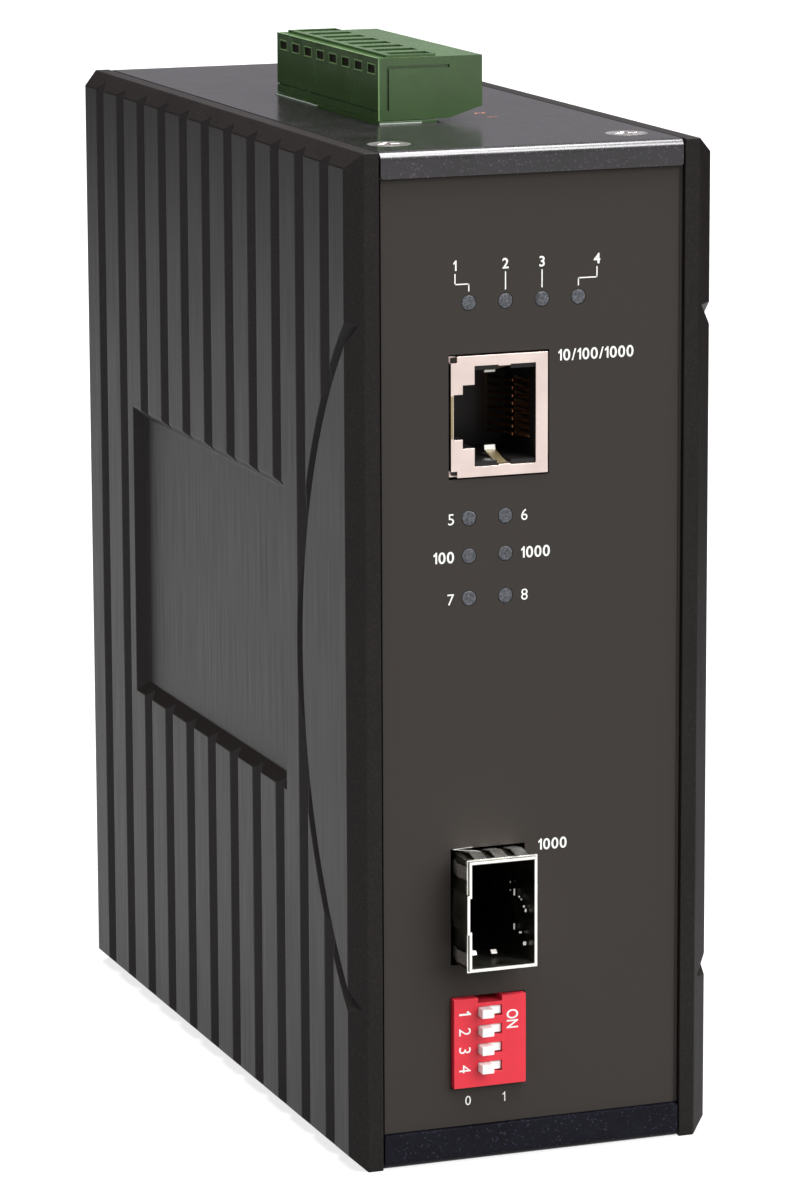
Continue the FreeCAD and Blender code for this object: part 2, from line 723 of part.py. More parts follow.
def panels():
    """Front and rear sheets with short returns that lie under the plates, and the front film."""
    for name, face, back in (("front_panel", PANEL_FACE, PANEL_BACK),
                             ("rear_panel", f"({REAR} - plate_thickness - panel_thickness)",
                              f"({REAR} - plate_thickness)")):
        panel = new_body(name)
        extrude(panel, "sheet", "XZ", face, back,
                rect(f"-{PANEL_HALF}", PANEL_HALF, "plate_thickness", f"{TOP} - plate_thickness"))
        near, far = (back, f"{back} + return_length") if name == "front_panel" else \
            (f"{face} - return_length", face)
        low = rect(near, far, "plate_thickness", "plate_thickness + panel_thickness")
        high = rect(near, far, f"{TOP} - plate_thickness - panel_thickness",
                    f"{TOP} - plate_thickness")
        extrude(panel, "returns", "YZ", "-return_width / 2", "return_width / 2", low, high)
        if name == "front_panel":
            extrude(panel, "openings", "XZ", face, back, *front_openings(), *light_slots(), cut=True)
        else:
            extrude(panel, "clip_holes", "XZ", face, back,
                    disc("-clip_screw_side", CLIP_MIDDLE, "screw_radius"),
                    disc("clip_screw_side", CLIP_MIDDLE, "screw_radius"), cut=True)
    film = new_body("front_film")
    extrude(film, "film", "XZ", FILM_FACE, PANEL_FACE,
            rect(f"-{PANEL_HALF} + film_gap", f"{PANEL_HALF} - film_gap",
                 "bottom_flange + film_gap", f"{TOP} - top_flange - film_gap"))
    holes = [disc(x, z, "led_radius + led_gap") for x, z in LED_PLACES_TOP + LED_PLACES_LOW]
    extrude(film, "openings", "XZ", FILM_FACE, PANEL_FACE, *front_openings(), *holes, cut=True)


def board_parts():
    """Upright circuit board with its spacers and screws."""
    board = new_body("circuit_board")
    near = f"({FRONT} + board_setback)"
    first = f"({near} + spacer_edge)"
    low = "(board_bottom + spacer_edge)"
    run = "board_length - 2 * spacer_edge"
    rise = "board_height - 2 * spacer_edge"
    extrude(board, "sheet", "YZ", BOARD_BACK, BOARD,
            rect(near, f"{near} + board_length", "board_bottom", "board_bottom + board_height"))
    hole = extrude(board, "screw_hole", "YZ", BOARD_BACK, BOARD,
                   disc(first, low, "board_screw_radius + fit_gap"), cut=True)
    repeat(board, "screw_holes", [hole], ("Y", run, "2"), ("Z", rise, "2"), cut=True)
    hole = extrude(board, "pin_hole", "YZ", BOARD_BACK, BOARD,
                   disc(FIRST_POLE, f"{HEADER_BASE} + pin_drop", "pin_size * 0.75"), cut=True)
    repeat(board, "pin_holes", [hole], ("Y", "pole_pitch * (pole_count - 1)", "pole_count"), cut=True)
    hole = extrude(board, "leg_hole", "YZ", BOARD_BACK, BOARD,
                   rect(f"{LEG_FIRST} - leg_size / 2 - fit_gap", f"{LEG_FIRST} + leg_size / 2 + fit_gap",
                        f"{LEG_LOW} - leg_size / 2 - fit_gap", f"{LEG_LOW} + leg_size / 2 + fit_gap"),
                   cut=True)
    repeat(board, "leg_holes", [hole], ("Y", "leg_pitch * 3", "4"), ("Z", LEG_RISE, "2"), cut=True)

    spacers = new_body("board_spacers")
    wall = f"(cover_wall - {SIDE})"
    tube = extrude(spacers, "spacer", "YZ", wall, BOARD_BACK, hexagon(first, low, "spacer_half"),
                   disc(first, low, "board_screw_radius"))
    repeat(spacers, "spacers", [tube], ("Y", run, "2"), ("Z", rise, "2"))

    screws = new_body("board_screws")
    top = f"({BOARD} + board_screw_head_height)"
    screw = revolve(screws, "screw", "XZ", first, ("across", low), polygon(
        (top, low), (top, f"{low} + board_screw_head"), (BOARD, f"{low} + board_screw_head"),
        (BOARD, f"{low} + board_screw_radius"),
        (f"{BOARD} - board_screw_length", f"{low} + board_screw_radius"),
        (f"{BOARD} - board_screw_length", low)))
    repeat(screws, "screws", [screw], ("Y", run, "2"), ("Z", rise, "2"))


def mouth(height):
    """Outline of the jack's mouth: contacts on the right, latch steps on the left."""
    step = f"({MOUTH_RIGHT} - mouth_width)"
    latch = f"({step} - step_width)"
    corners = ((MOUTH_RIGHT, height), (step, height), (step, "step_height"),
               (latch, "step_height"), (latch, "latch_height"),
               (f"({latch} - latch_width)", "latch_height"))
    upper = [(x, f"{JACK_MIDDLE} + {tall} / 2") for x, tall in corners]
    lower = [(x, f"{JACK_MIDDLE} - {tall} / 2") for x, tall in reversed(corners)]
    return polygon(*upper, *lower)


def jack():
    """Copper port: folded shield, moulded insert and eight spring contacts."""
    face = f"({FRONT} + jack_setback)"
    back = f"({face} + jack_depth)"
    right = f"({BOARD} + jack_width)"
    top = "(jack_bottom + jack_height)"
    tab_left = f"({MOUTH_RIGHT} - tab_offset)"
    tab_right = f"({tab_left} + tab_width)"

    shell = new_body("jack_shell")
    extrude(shell, "shield", "XZ", face, back, rect(BOARD, right, "jack_bottom", top))
    extrude(shell, "inside", "XZ", f"{face} + jack_shell", f"{back} - jack_shell",
            rect(f"{BOARD} + jack_shell", f"{right} - jack_shell",
                 "jack_bottom + jack_shell", f"{top} - jack_shell"), cut=True)
    extrude(shell, "mouth", "XZ", face, f"{face} + jack_shell",
            mouth("mouth_height"), cut=True)
    extrude(shell, "corner_notches", "XZ", face, f"{face} + corner_notch",
            rect(BOARD, f"{BOARD} + corner_notch", "jack_bottom", "jack_bottom + corner_notch"),
            rect(BOARD, f"{BOARD} + corner_notch", f"{top} - corner_notch", top), cut=True)
    low = f"({JACK_MIDDLE} - mouth_height / 2)"
    high = f"({JACK_MIDDLE} + mouth_height / 2)"
    bend = f"({face} + jack_shell)"
    for name, edge, out, way in (("lower_tab", low, "-", "+"), ("upper_tab", high, "+", "-")):
        extrude(shell, name, "YZ", tab_left, tab_right, polygon(
            (face, f"{edge} {out} jack_shell"), (bend, f"{edge} {out} jack_shell"),
            (bend, f"{edge} {out} tab_gap"), (f"{face} + tab_length", f"{edge} {way} tab_height"),
            (f"{face} + tab_length", f"{edge} {way} tab_height {way} jack_shell"),
            (face, f"{edge} {way} jack_shell / 2")))

    insert = new_body("jack_housing")
    inner = f"({face} + jack_shell)"
    extrude(insert, "block", "XZ", inner, f"{back} - jack_shell",
            rect(f"{BOARD} + jack_shell", f"{right} - jack_shell",
                 "jack_bottom + jack_shell", f"{top} - jack_shell"))
    extrude(insert, "cavity", "XZ", inner, f"{face} + plug_depth", mouth("plug_height"), cut=True)
    extrude(insert, "tab_slots", "XZ", inner, f"{face} + tab_length + tab_gap",
            rect(f"{tab_left} - tab_gap", f"{tab_right} + tab_gap", f"{low} - jack_shell",
                 f"{high} + jack_shell"), cut=True)
    half = "(contact_pitch * 3.5 + contact_width)"
    extrude(insert, "contact_relief", "XZ", f"{FRONT} + contact_setback", f"{face} + plug_depth",
            rect(f"{MOUTH_RIGHT} - fit_gap", f"{MOUTH_RIGHT} + contact_relief",
                 f"{JACK_MIDDLE} - {half}", f"{JACK_MIDDLE} + {half}"), cut=True)

    contacts = new_body("jack_contacts")
    seat = f"({MOUTH_RIGHT} + contact_relief)"
    start = f"({FRONT} + contact_setback)"
    base = f"({JACK_MIDDLE} - contact_pitch * 3.5 - contact_width / 2)"
    strip = extrude(contacts, "contact", "XY", base, f"{base} + contact_width", polygon(
        (seat, start), (seat, f"{start} + contact_root"),
        (f"{seat} - contact_thickness", f"{start} + contact_root"),
        (f"{seat} - contact_thickness", f"{start} + 4 * contact_thickness"),
        (f"{seat} - contact_reach", f"{start} + contact_length + 2 * contact_thickness"),
        (f"{seat} - contact_reach", f"{start} + contact_length")))
    repeat(contacts, "contacts", [strip], ("Z", "contact_pitch * 7", "8"))


def fibre_port():
    """Cage for the optical module, spring fingers round its mouth and the socket inside."""
    face = CAGE_FACE
    back = f"({face} + cage_length)"
    right = f"({CAGE_LEFT} + cage_width)"
    top = "(cage_bottom + cage_height)"
    key_low = "(cage_bottom + key_bottom)"
    key_high = f"({key_low} + key_height)"
    key_out = f"({CAGE_LEFT} - key_step)"
    socket_back = f"({back} - cage_wall)"
    socket_front = f"({socket_back} - socket_length)"

    cage = new_body("fibre_cage")
    extrude(cage, "tube", "XZ", face, back, rect(CAGE_LEFT, right, "cage_bottom", top))
    extrude(cage, "key", "XZ", face, f"{face} + key_length",
            rect(key_out, f"{CAGE_LEFT} + key_step", key_low, key_high))
    extrude(cage, "inside", "XZ", face, socket_back,
            rect(f"{CAGE_LEFT} + cage_wall", f"{right} - cage_wall",
                 "cage_bottom + cage_wall", f"{top} - cage_wall"), cut=True)
    extrude(cage, "key_inside", "XZ", face, f"{face} + key_length - cage_wall",
            rect(f"{key_out} + cage_wall", f"{CAGE_LEFT} + 2 * cage_wall",
                 f"{key_low} + cage_wall", f"{key_high} - cage_wall"), cut=True)
    extrude(cage, "socket_window", "YZ", CAGE_LEFT, f"{CAGE_LEFT} + cage_wall",
            rect(socket_front, socket_back, f"{CAGE_MIDDLE} - socket_height / 2",
                 f"{CAGE_MIDDLE} + socket_height / 2"), cut=True)
    shoulder = extrude(cage, "leg_shoulder", "YZ", BOARD, CAGE_LEFT, rect(
        f"{LEG_FIRST} - leg_size", f"{LEG_FIRST} + leg_size",
        f"{LEG_LOW} - leg_size / 2", f"{LEG_LOW} + leg_size / 2"))
    leg = extrude(cage, "leg", "YZ", f"{BOARD_BACK} - leg_size", BOARD, rect(
        f"{LEG_FIRST} - leg_size / 2", f"{LEG_FIRST} + leg_size / 2",
        f"{LEG_LOW} - leg_size / 2", f"{LEG_LOW} + leg_size / 2"))
    repeat(cage, "legs", [shoulder, leg], ("Y", "leg_pitch * 3", "4"), ("Z", LEG_RISE, "2"))

    fingers = new_body("cage_fingers")
    band = f"({face} + band_setback)"
    thick = "finger_thickness"
    extrude(fingers, "band", "XZ", band, f"{band} + band_length",
            rect(f"{CAGE_LEFT} - {thick}", f"{right} + {thick}",
                 f"cage_bottom - {thick}", f"{top} + {thick}"),
            rect(CAGE_LEFT, right, "cage_bottom", top))
    extrude(fingers, "key_gap", "XZ", band, f"{band} + band_length",
            rect(f"{key_out} - finger_width", f"{CAGE_LEFT} + finger_width", key_low, key_high),
            cut=True)
    end = f"({band} + finger_length)"
    crest = f"(({band} + {end}) / 2)"

    def finger(root, way):
        tip = f"{root} {way} finger_thickness"
        return [(root, band), (tip, band), (f"{tip} {way} finger_bulge", crest), (tip, end),
                (root, end), (f"{root} {way} finger_bulge", crest)]

    low = f"({CAGE_MIDDLE} - 2 * finger_pitch - finger_width / 2)"
    strip = extrude(fingers, "right_finger", "XY", low, f"{low} + finger_width",
                    polygon(*finger(right, "+")))
    repeat(fingers, "right_fingers", [strip], ("Z", "finger_pitch * 4", "5"))
    strip = extrude(fingers, "left_finger", "XY", low, f"{low} + finger_width",
                    polygon(*finger(CAGE_LEFT, "-")))
    repeat(fingers, "left_fingers", [strip], ("Z", "finger_pitch * 4", "2"))
    first = f"({CAGE_LEFT} + cage_width / 2 - finger_pitch - finger_width / 2)"
    for name, root, way in (("upper", top, "+"), ("lower", "cage_bottom", "-")):
        strip = extrude(fingers, name + "_finger", "YZ", first, f"{first} + finger_width",
                        polygon(*[(y, z) for z, y in finger(root, way)]))
        repeat(fingers, name + "_fingers", [strip], ("X", "finger_pitch * 2", "3"))

    socket = new_body("card_socket")
    middle = f"({BOARD} + socket_middle)"
    extrude(socket, "block", "YZ", BOARD, f"{BOARD} + socket_width",
            rect(socket_front, socket_back, f"{CAGE_MIDDLE} - socket_height / 2",
                 f"{CAGE_MIDDLE} + socket_height / 2"))
    extrude(socket, "slot", "XZ", socket_front, f"{socket_front} + socket_slot_depth",
            rect(f"{middle} - socket_slot / 2", f"{middle} + socket_slot / 2",
                 f"{CAGE_MIDDLE} - socket_height / 2 + socket_rim",
                 f"{CAGE_MIDDLE} + socket_height / 2 - socket_rim"), cut=True)


def slide_switch():
    """Four-way slide switch: one body and four sliders at their left ends."""
    body = new_body("switch_body")
    middle = f"({BOARD} + switch_width / 2)"
    top = "(switch_bottom + switch_height)"
    back = f"({SWITCH_FACE} + switch_depth)"
    cavity_left = f"({SLOT_LEFT} - slider_travel - slider_gap)"
    cavity_right = f"({SLOT_LEFT} + slot_length + slider_travel + slider_gap)"
    rows = [f"(switch_bottom + switch_height / 2 + switch_rise + {i - 1.5} * switch_pitch)"
            for i in range(4)]
    extrude(body, "block", "XZ", SWITCH_FACE, back,
            rect(BOARD, f"{BOARD} + switch_width", "switch_bottom", top))
    extrude(body, "top_notch", "XZ", SWITCH_FACE, back,
            rect(f"{middle} - switch_notch_width / 2", f"{middle} + switch_notch_width / 2",
                 f"{top} - switch_notch_depth", top), cut=True)
    extrude(body, "slots", "XZ", SWITCH_FACE, f"{SWITCH_FACE} + slot_lip",
            *[rect(SLOT_LEFT, f"{SLOT_LEFT} + slot_length", f"{row} - slot_height / 2",
                   f"{row} + slot_height / 2") for row in rows], cut=True)
    inner = f"({SWITCH_FACE} + slot_lip)"
    extrude(body, "tracks", "XZ", inner, f"{inner} + slider_base + 2 * slider_gap",
            *[rect(cavity_left, cavity_right, f"{row} - slot_height / 2 - slider_gap",
                   f"{row} + slot_height / 2 + slider_gap") for row in rows], cut=True)
    for index, row in enumerate(rows, start=1):
        slider = new_body(f"switch_slider_{index}")
        half = "(slot_height / 2 - slider_gap)"
        left = f"({SLOT_LEFT} + slider_gap / 2)"
        extrude(slider, "base", "XZ", f"{inner} + slider_gap", f"{inner} + slider_gap + slider_base",
                rect(f"{cavity_left} + slider_gap", f"{SLOT_LEFT} + slot_length",
                     f"{row} - {half}", f"{row} + {half}"))
        extrude(slider, "knob", "XZ", f"{SWITCH_FACE} - knob_proud", f"{inner} + slider_gap",
                rect(left, f"{left} + knob_length", f"{row} - {half}", f"{row} + {half}"))


def lights():
    """Round indicator lights behind the panel, held off the board by dark holders."""
    tail = f"({PANEL_BACK} + led_tail)"
    for name, places in (("status_lights", LED_PLACES_TOP), ("port_lights", LED_PLACES_LOW)):
        lens = new_body(name)
        extrude(lens, "lenses", "XZ", f"{FILM_FACE} - led_proud", tail,
                *[disc(x, z, "led_radius") for x, z in places])
    holders = new_body("light_holders")
    for name, row, count in (("top", "led_row_top", 4), ("one", "led_row_one", 2),
                             ("two", "led_row_two", 2), ("three", "led_row_three", 2)):
        extrude(holders, f"holder_{name}", "XZ", tail, f"{tail} + led_holder_depth",
                rect(BOARD, f"{BOARD} + led_stand + {count - 1} * led_pitch + led_holder_half",
                     f"{row} - led_holder_half", f"{row} + led_holder_half"))


def terminal_header_parts():
    """Fixed collar of the terminal block with its right-angle pins."""
    header = new_body("terminal_header")
    right = f"({BLOCK_LEFT} + header_width)"
    floor = f"({HEADER_BASE} + header_floor)"
    half = "(pin_size / 2)"
    pin_z = f"({HEADER_BASE} + pin_drop)"
    run = ("Y", "pole_pitch * (pole_count - 1)", "pole_count")
    extrude(header, "block", "XY", HEADER_BASE, HEADER_TOP,
            rect(BLOCK_LEFT, right, HEADER_FRONT, HEADER_BACK))
    extrude(header, "foot", "XY", HEADER_BASE, f"{HEADER_BASE} + header_foot",
            rect(BOARD, BLOCK_LEFT, HEADER_FRONT, HEADER_BACK))
    extrude(header, "cavity", "XY", floor, HEADER_TOP,
            rect(f"{BLOCK_LEFT} + header_wall", f"{right} - header_wall",
                 f"{HEADER_FRONT} + header_wall", f"{HEADER_BACK} - header_wall"), cut=True)
    hole = extrude(header, "pin_hole", "XZ", f"{FIRST_POLE} - {half}", f"{FIRST_POLE} + {half}",
                   polygon((BOARD, f"{pin_z} - {half}"), (f"{PIN_X} + {half}", f"{pin_z} - {half}"),
                           (f"{PIN_X} + {half}", floor), (f"{PIN_X} - {half}", floor),
                           (f"{PIN_X} - {half}", f"{pin_z} + {half}"),
                           (BOARD, f"{pin_z} + {half}")), cut=True)
    repeat(header, "pin_holes", [hole], run, cut=True)
    pins = new_body("header_pins")
    end = f"({BOARD_BACK} - pin_through)"
    tip = f"({HEADER_TOP} - pin_tip)"
    pin = extrude(pins, "pin", "XZ", f"{FIRST_POLE} - {half}", f"{FIRST_POLE} + {half}",
                  polygon((end, f"{pin_z} - {half}"), (f"{PIN_X} + {half}", f"{pin_z} - {half}"),
                          (f"{PIN_X} + {half}", tip), (f"{PIN_X} - {half}", tip),
                          (f"{PIN_X} - {half}", f"{pin_z} + {half}"), (end, f"{pin_z} + {half}")))
    repeat(pins, "pins", [pin], run)


def terminal_plug_parts():
    """Pluggable terminal block: housing, contacts, clamp screws and wire clamps."""
    back = f"({BLOCK_FRONT} + {BLOCK_LENGTH})"
    run = ("Y", "pole_pitch * (pole_count - 1)", "pole_count")
    bridge = f"({BLOCK_BASE} - bridge_drop)"
    prong_left = f"({PIN_X} - pin_size / 2 - prong_gap - prong_thickness)"
    prong_right = f"({PIN_X} + pin_size / 2 + prong_gap + prong_thickness)"
    cavity_low = f"({CLAMP_Z} - clamp_height / 2 - clamp_gap)"
    cavity_high = f"({CLAMP_Z} + clamp_height / 2 + clamp_gap)"
    head_left = f"({BLOCK_RIGHT} - clamp_head_sink - clamp_head_length)"
    plug = new_body("terminal_plug")
    extrude(plug, "block", "XZ", BLOCK_FRONT, back, polygon(
        (BLOCK_LEFT, BLOCK_BASE), (f"{BLOCK_RIGHT} - slant_width", BLOCK_BASE),
        (BLOCK_RIGHT, f"{BLOCK_BASE} + slant_height"), (BLOCK_RIGHT, BLOCK_TOP),
        (BLOCK_LEFT, BLOCK_TOP)))
    extrude(plug, "roof", "XY", BLOCK_TOP, f"{BLOCK_TOP} + roof_height",
            rect(f"{BLOCK_LEFT} + roof_left", f"{BLOCK_LEFT} + roof_left + roof_width",
                 f"{BLOCK_FRONT} + roof_left / 2", f"{back} - roof_left / 2"))
    extrude(plug, "tongue", "XY", TONGUE_BASE, BLOCK_BASE,
            rect(TONGUE_LEFT, f"{TONGUE_LEFT} + tongue_width", f"{BLOCK_FRONT} + tongue_margin",
                 f"{back} - tongue_margin"))
    entry = extrude(plug, "wire_entry", "XY", cavity_high, f"{BLOCK_TOP} + roof_height",
                    rect(f"{BLOCK_LEFT} + entry_left", f"{BLOCK_LEFT} + entry_left + entry_width",
                         f"{FIRST_POLE} - entry_length / 2", f"{FIRST_POLE} + entry_length / 2"),
                    cut=True)
    room = extrude(plug, "clamp_room", "XY", cavity_low, cavity_high,
                   rect(f"{CLAMP_LEFT} - clamp_gap", CAVITY_RIGHT,
                        f"{FIRST_POLE} - clamp_half - clamp_gap",
                        f"{FIRST_POLE} + clamp_half + clamp_gap"), cut=True)
    neck = "(clamp_screw_radius + fit_gap)"
    shaft = extrude(plug, "shaft_hole", "YZ", CAVITY_RIGHT, head_left,
                    rect(f"{FIRST_POLE} - {neck}", f"{FIRST_POLE} + {neck}",
                         f"{CLAMP_Z} - {neck}", f"{CLAMP_Z} + {neck}"), cut=True)
    sink = extrude(plug, "head_hole", "YZ", f"{head_left} - fit_gap", BLOCK_RIGHT,
                   disc(FIRST_POLE, CLAMP_Z, "clamp_head_radius + clamp_gap"), cut=True)
    channel = extrude(plug, "contact_channel", "XY", TONGUE_BASE, bridge,
                      rect(prong_left, BAR_RIGHT, f"{FIRST_POLE} - bar_half",
                           f"{FIRST_POLE} + bar_half"), cut=True)
    passage = extrude(plug, "bar_passage", "XY", bridge, cavity_low,
                      rect(BAR_LEFT, BAR_RIGHT, f"{FIRST_POLE} - bar_half",
                           f"{FIRST_POLE} + bar_half"), cut=True)
    window = extrude(plug, "window", "XZ", f"{FIRST_POLE} - window_length / 2",
                     f"{FIRST_POLE} + window_length / 2",
                     rect(BLOCK_LEFT, f"{BLOCK_LEFT} + window_depth",
                          f"{BLOCK_TOP} - window_drop - window_height",
                          f"{BLOCK_TOP} - window_drop"), cut=True)
    repeat(plug, "poles", [entry, room, shaft, sink, channel, passage, window], run, cut=True)
    end_marks(plug, back)

    contacts = new_body("plug_contacts")
    low = f"({TONGUE_BASE} + prong_inset)"
    under = f"({bridge} - bar_thickness)"
    contact = extrude(contacts, "contact", "XZ", f"{FIRST_POLE} - bar_half",
                      f"{FIRST_POLE} + bar_half", polygon(
        (prong_left, low), (f"{prong_left} + prong_thickness", low),
        (f"{prong_left} + prong_thickness", under), (f"{prong_right} - prong_thickness", under),
        (f"{prong_right} - prong_thickness", low), (prong_right, low), (prong_right, under),
        (BAR_RIGHT, under), (BAR_RIGHT, cavity_high), (BAR_LEFT, cavity_high), (BAR_LEFT, bridge),
        (prong_left, bridge)))
    repeat(contacts, "contacts", [contact], run)

    for index in range(8):
        pole = f"({FIRST_POLE} + {index} * pole_pitch)"
        screw = new_body(f"clamp_screw_{index + 1}")
        head_right = f"({head_left} + clamp_head_length)"
        tip = f"({BAR_RIGHT} + 2 * clamp_gap)"
        revolve(screw, "screw", "XZ", pole, ("across", CLAMP_Z), polygon(
            (head_right, CLAMP_Z), (head_right, f"{CLAMP_Z} + clamp_head_radius"),
            (head_left, f"{CLAMP_Z} + clamp_head_radius"),
            (head_left, f"{CLAMP_Z} + clamp_screw_radius"),
            (tip, f"{CLAMP_Z} + clamp_screw_radius"), (tip, CLAMP_Z)))
        extrude(screw, "slot", "YZ", f"{head_right} - clamp_slot_depth", head_right,
                rect(f"{pole} - clamp_head_radius", f"{pole} + clamp_head_radius",
                     f"{CLAMP_Z} - clamp_slot_width / 2", f"{CLAMP_Z} + clamp_slot_width / 2"),
                cut=True)
        clamp = new_body(f"wire_clamp_{index + 1}")
        extrude(clamp, "frame", "XY", f"{CLAMP_Z} - clamp_height / 2",
                f"{CLAMP_Z} + clamp_height / 2",
                rect(CLAMP_LEFT, CLAMP_RIGHT, f"{pole} - clamp_half", f"{pole} + clamp_half"),
                rect(f"{CLAMP_LEFT} + clamp_wall", f"{CLAMP_RIGHT} - clamp_nut",
                     f"{pole} - clamp_half + clamp_wall", f"{pole} + clamp_half - clamp_wall"))
        extrude(clamp, "thread", "YZ", f"{CLAMP_RIGHT} - clamp_nut", CLAMP_RIGHT,
                disc(pole, CLAMP_Z, "clamp_screw_radius + fit_gap"), cut=True)


def end_marks(plug, back):
    """Shallow grooves on the block's two ends and the seam above its base."""
    strip = f"({BLOCK_LEFT} + strip_width)"
    line = f"({BLOCK_TOP} - strip_width)"
    seam = f"({BLOCK_BASE} + seam_rise)"
    for name, near, far in (("front", BLOCK_FRONT, f"{BLOCK_FRONT} + mark_depth"),
                            ("rear", f"{back} - mark_depth", back)):
        extrude(plug, f"{name}_mark", "XZ", near, far, polygon(
            (strip, seam), (f"{strip} + mark_width", seam),
            (f"{strip} + mark_width", f"{line} - mark_width"),
            (f"{strip} + mark_length", f"{line} - mark_width"), (f"{strip} + mark_length", line),
            (strip, line)), cut=True)
    extrude(plug, "seam", "YZ", BLOCK_LEFT, f"{BLOCK_LEFT} + mark_depth",
            rect(BLOCK_FRONT, back, f"{seam} - mark_width / 2", f"{seam}"), cut=True)


def electronics():
    """Main parts on the board's component side."""
    chip = new_body("main_chip")
    extrude(chip, "package", "YZ", BOARD, f"{BOARD} + chip_height",
            rect("-chip_size / 2", "chip_size / 2", "chip_level - chip_size / 2",
                 "chip_level + chip_size / 2"))
    coil_box = new_body("magnetics")
    near = f"({FRONT} + magnetics_setback)"
    extrude(coil_box, "package", "YZ", BOARD, f"{BOARD} + magnetics_height",
            rect(near, f"{near} + magnetics_length", f"{JACK_MIDDLE} - magnetics_width / 2",
                 f"{JACK_MIDDLE} + magnetics_width / 2"))
    cans = new_body("capacitors")
    level = f"({TOP} - capacitor_drop)"
    extrude(cans, "cans", "YZ", BOARD, f"{BOARD} + capacitor_height",
            disc(f"{REAR} - capacitor_setback", level, "capacitor_radius"),
            disc(f"{REAR} - capacitor_setback", f"{level} - capacitor_pitch", "capacitor_radius"))
    coil = new_body("coil")
    extrude(coil, "winding", "YZ", BOARD, f"{BOARD} + coil_height",
            disc(f"{REAR} - coil_setback", f"{TOP} - coil_drop", "coil_radius"))
    relay = new_body("relay")
    near = f"({REAR} - relay_setback)"
    extrude(relay, "case", "YZ", BOARD, f"{BOARD} + relay_height",
            rect(near, f"{near} + relay_length", "relay_level", "relay_level + relay_width"))


def rail_clip():
    """Clip plate with two hooks for the rail, its leaf spring and two screws."""
    rear = f"({CLIP_Y} + clip_thickness)"
    slot = f"({rear} + rail_slot)"
    lip = f"({slot} + clip_thickness)"
    top = f"(clip_bottom + {CLIP_HEIGHT})"
    plate = new_body("clip_plate")
    extrude(plate, "profile", "YZ", "-clip_width / 2", "clip_width / 2", polygon(
        (CLIP_Y, "clip_bottom"), (lip, "clip_bottom"), (lip, "clip_bottom + hook_low"),
        (slot, "clip_bottom + hook_low"), (slot, "clip_bottom + clip_thickness"),
        (rear, "clip_bottom + clip_thickness"), (rear, f"{top} - clip_thickness"),
        (slot, f"{top} - clip_thickness"), (slot, f"{top} - hook_high"),
        (lip, f"{top} - hook_high"), (lip, top), (CLIP_Y, top)))
    extrude(plate, "screw_holes", "XZ", CLIP_Y, rear,
            disc("-clip_screw_side", CLIP_MIDDLE, "screw_radius + fit_gap"),
            disc("clip_screw_side", CLIP_MIDDLE, "screw_radius + fit_gap"), cut=True)

    spring = new_body("clip_spring")
    roof = f"({top} - clip_thickness)"
    thick = "spring_thickness"
    middle = f"({roof} - spring_sag)"
    foot = "(spring_half - spring_foot)"
    extrude(spring, "leaf", "XZ", f"{rear} + spring_gap", f"{rear} + spring_gap + spring_width", polygon(
        ("-spring_half", roof), (f"-{foot}", roof), ("-spring_middle", middle),
        ("spring_middle", middle), (foot, roof), ("spring_half", roof),
        ("spring_half", f"{roof} - {thick}"), (foot, f"{roof} - {thick}"),
        ("spring_middle", f"{middle} - {thick}"), ("-spring_middle", f"{middle} - {thick}"),
        (f"-{foot}", f"{roof} - {thick}"), ("-spring_half", f"{roof} - {thick}")))

    screws = new_body("clip_screws")
    x = "(-clip_screw_side)"
    shape = revolve(screws, "screw", "YZ", x, ("across", CLIP_MIDDLE), polygon(
        (f"{rear} + board_screw_head_height", CLIP_MIDDLE),
        (f"{rear} + board_screw_head_height", f"{CLIP_MIDDLE} + head_radius"),
        (rear, f"{CLIP_MIDDLE} + head_radius"), (rear, f"{CLIP_MIDDLE} + screw_radius"),
        (f"{rear} - clip_screw_length", f"{CLIP_MIDDLE} + screw_radius"),
        (f"{rear} - clip_screw_length", CLIP_MIDDLE)))
    drive = extrude(screws, "cross_recess", "XZ",
                    f"{rear} + board_screw_head_height - cross_depth",
                    f"{rear} + board_screw_head_height",
                    cross(x, CLIP_MIDDLE, "cross_reach", "cross_width"), cut=True)
    repeat(screws, "screws", [shape, drive], ("X", "2 * clip_screw_side", "2"))


side_covers()
plates()
housing_screws("top_screws", True)
housing_screws("bottom_screws", False)
panels()
board_parts()
jack()
fibre_port()
slide_switch()
lights()
terminal_header_parts()
terminal_plug_parts()
electronics()
rail_clip()
doc.recompute()

for item in doc.Objects:
    if "Invalid" in item.State or "Error" in item.State:
        raise RuntimeError(f"{item.Name} is {item.State}")
os.makedirs("parts", exist_ok=True)
for name, item in NODES.items():
    if item.Shape.isNull() or not item.Shape.isValid():
        raise RuntimeError(f"{name} has no valid shape")
    item.Shape.exportStep(f"parts/{item.Label}.step")
    box = item.Shape.BoundBox
    print(f"{item.Label}: {len(item.Shape.Solids)} solid(s), {item.Shape.Volume:.1f} mm3, "
          f"x {box.XMin:.2f}..{box.XMax:.2f} y {box.YMin:.2f}..{box.YMax:.2f} "
          f"z {box.ZMin:.2f}..{box.ZMax:.2f}")
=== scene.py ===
"""Looks of a fibre media converter for a 35 mm rail, dressed over its CAD solids."""

import math
import bmesh
import bpy
from bpy.props import FloatProperty, FloatVectorProperty, PointerProperty
from mathutils import Matrix, Vector


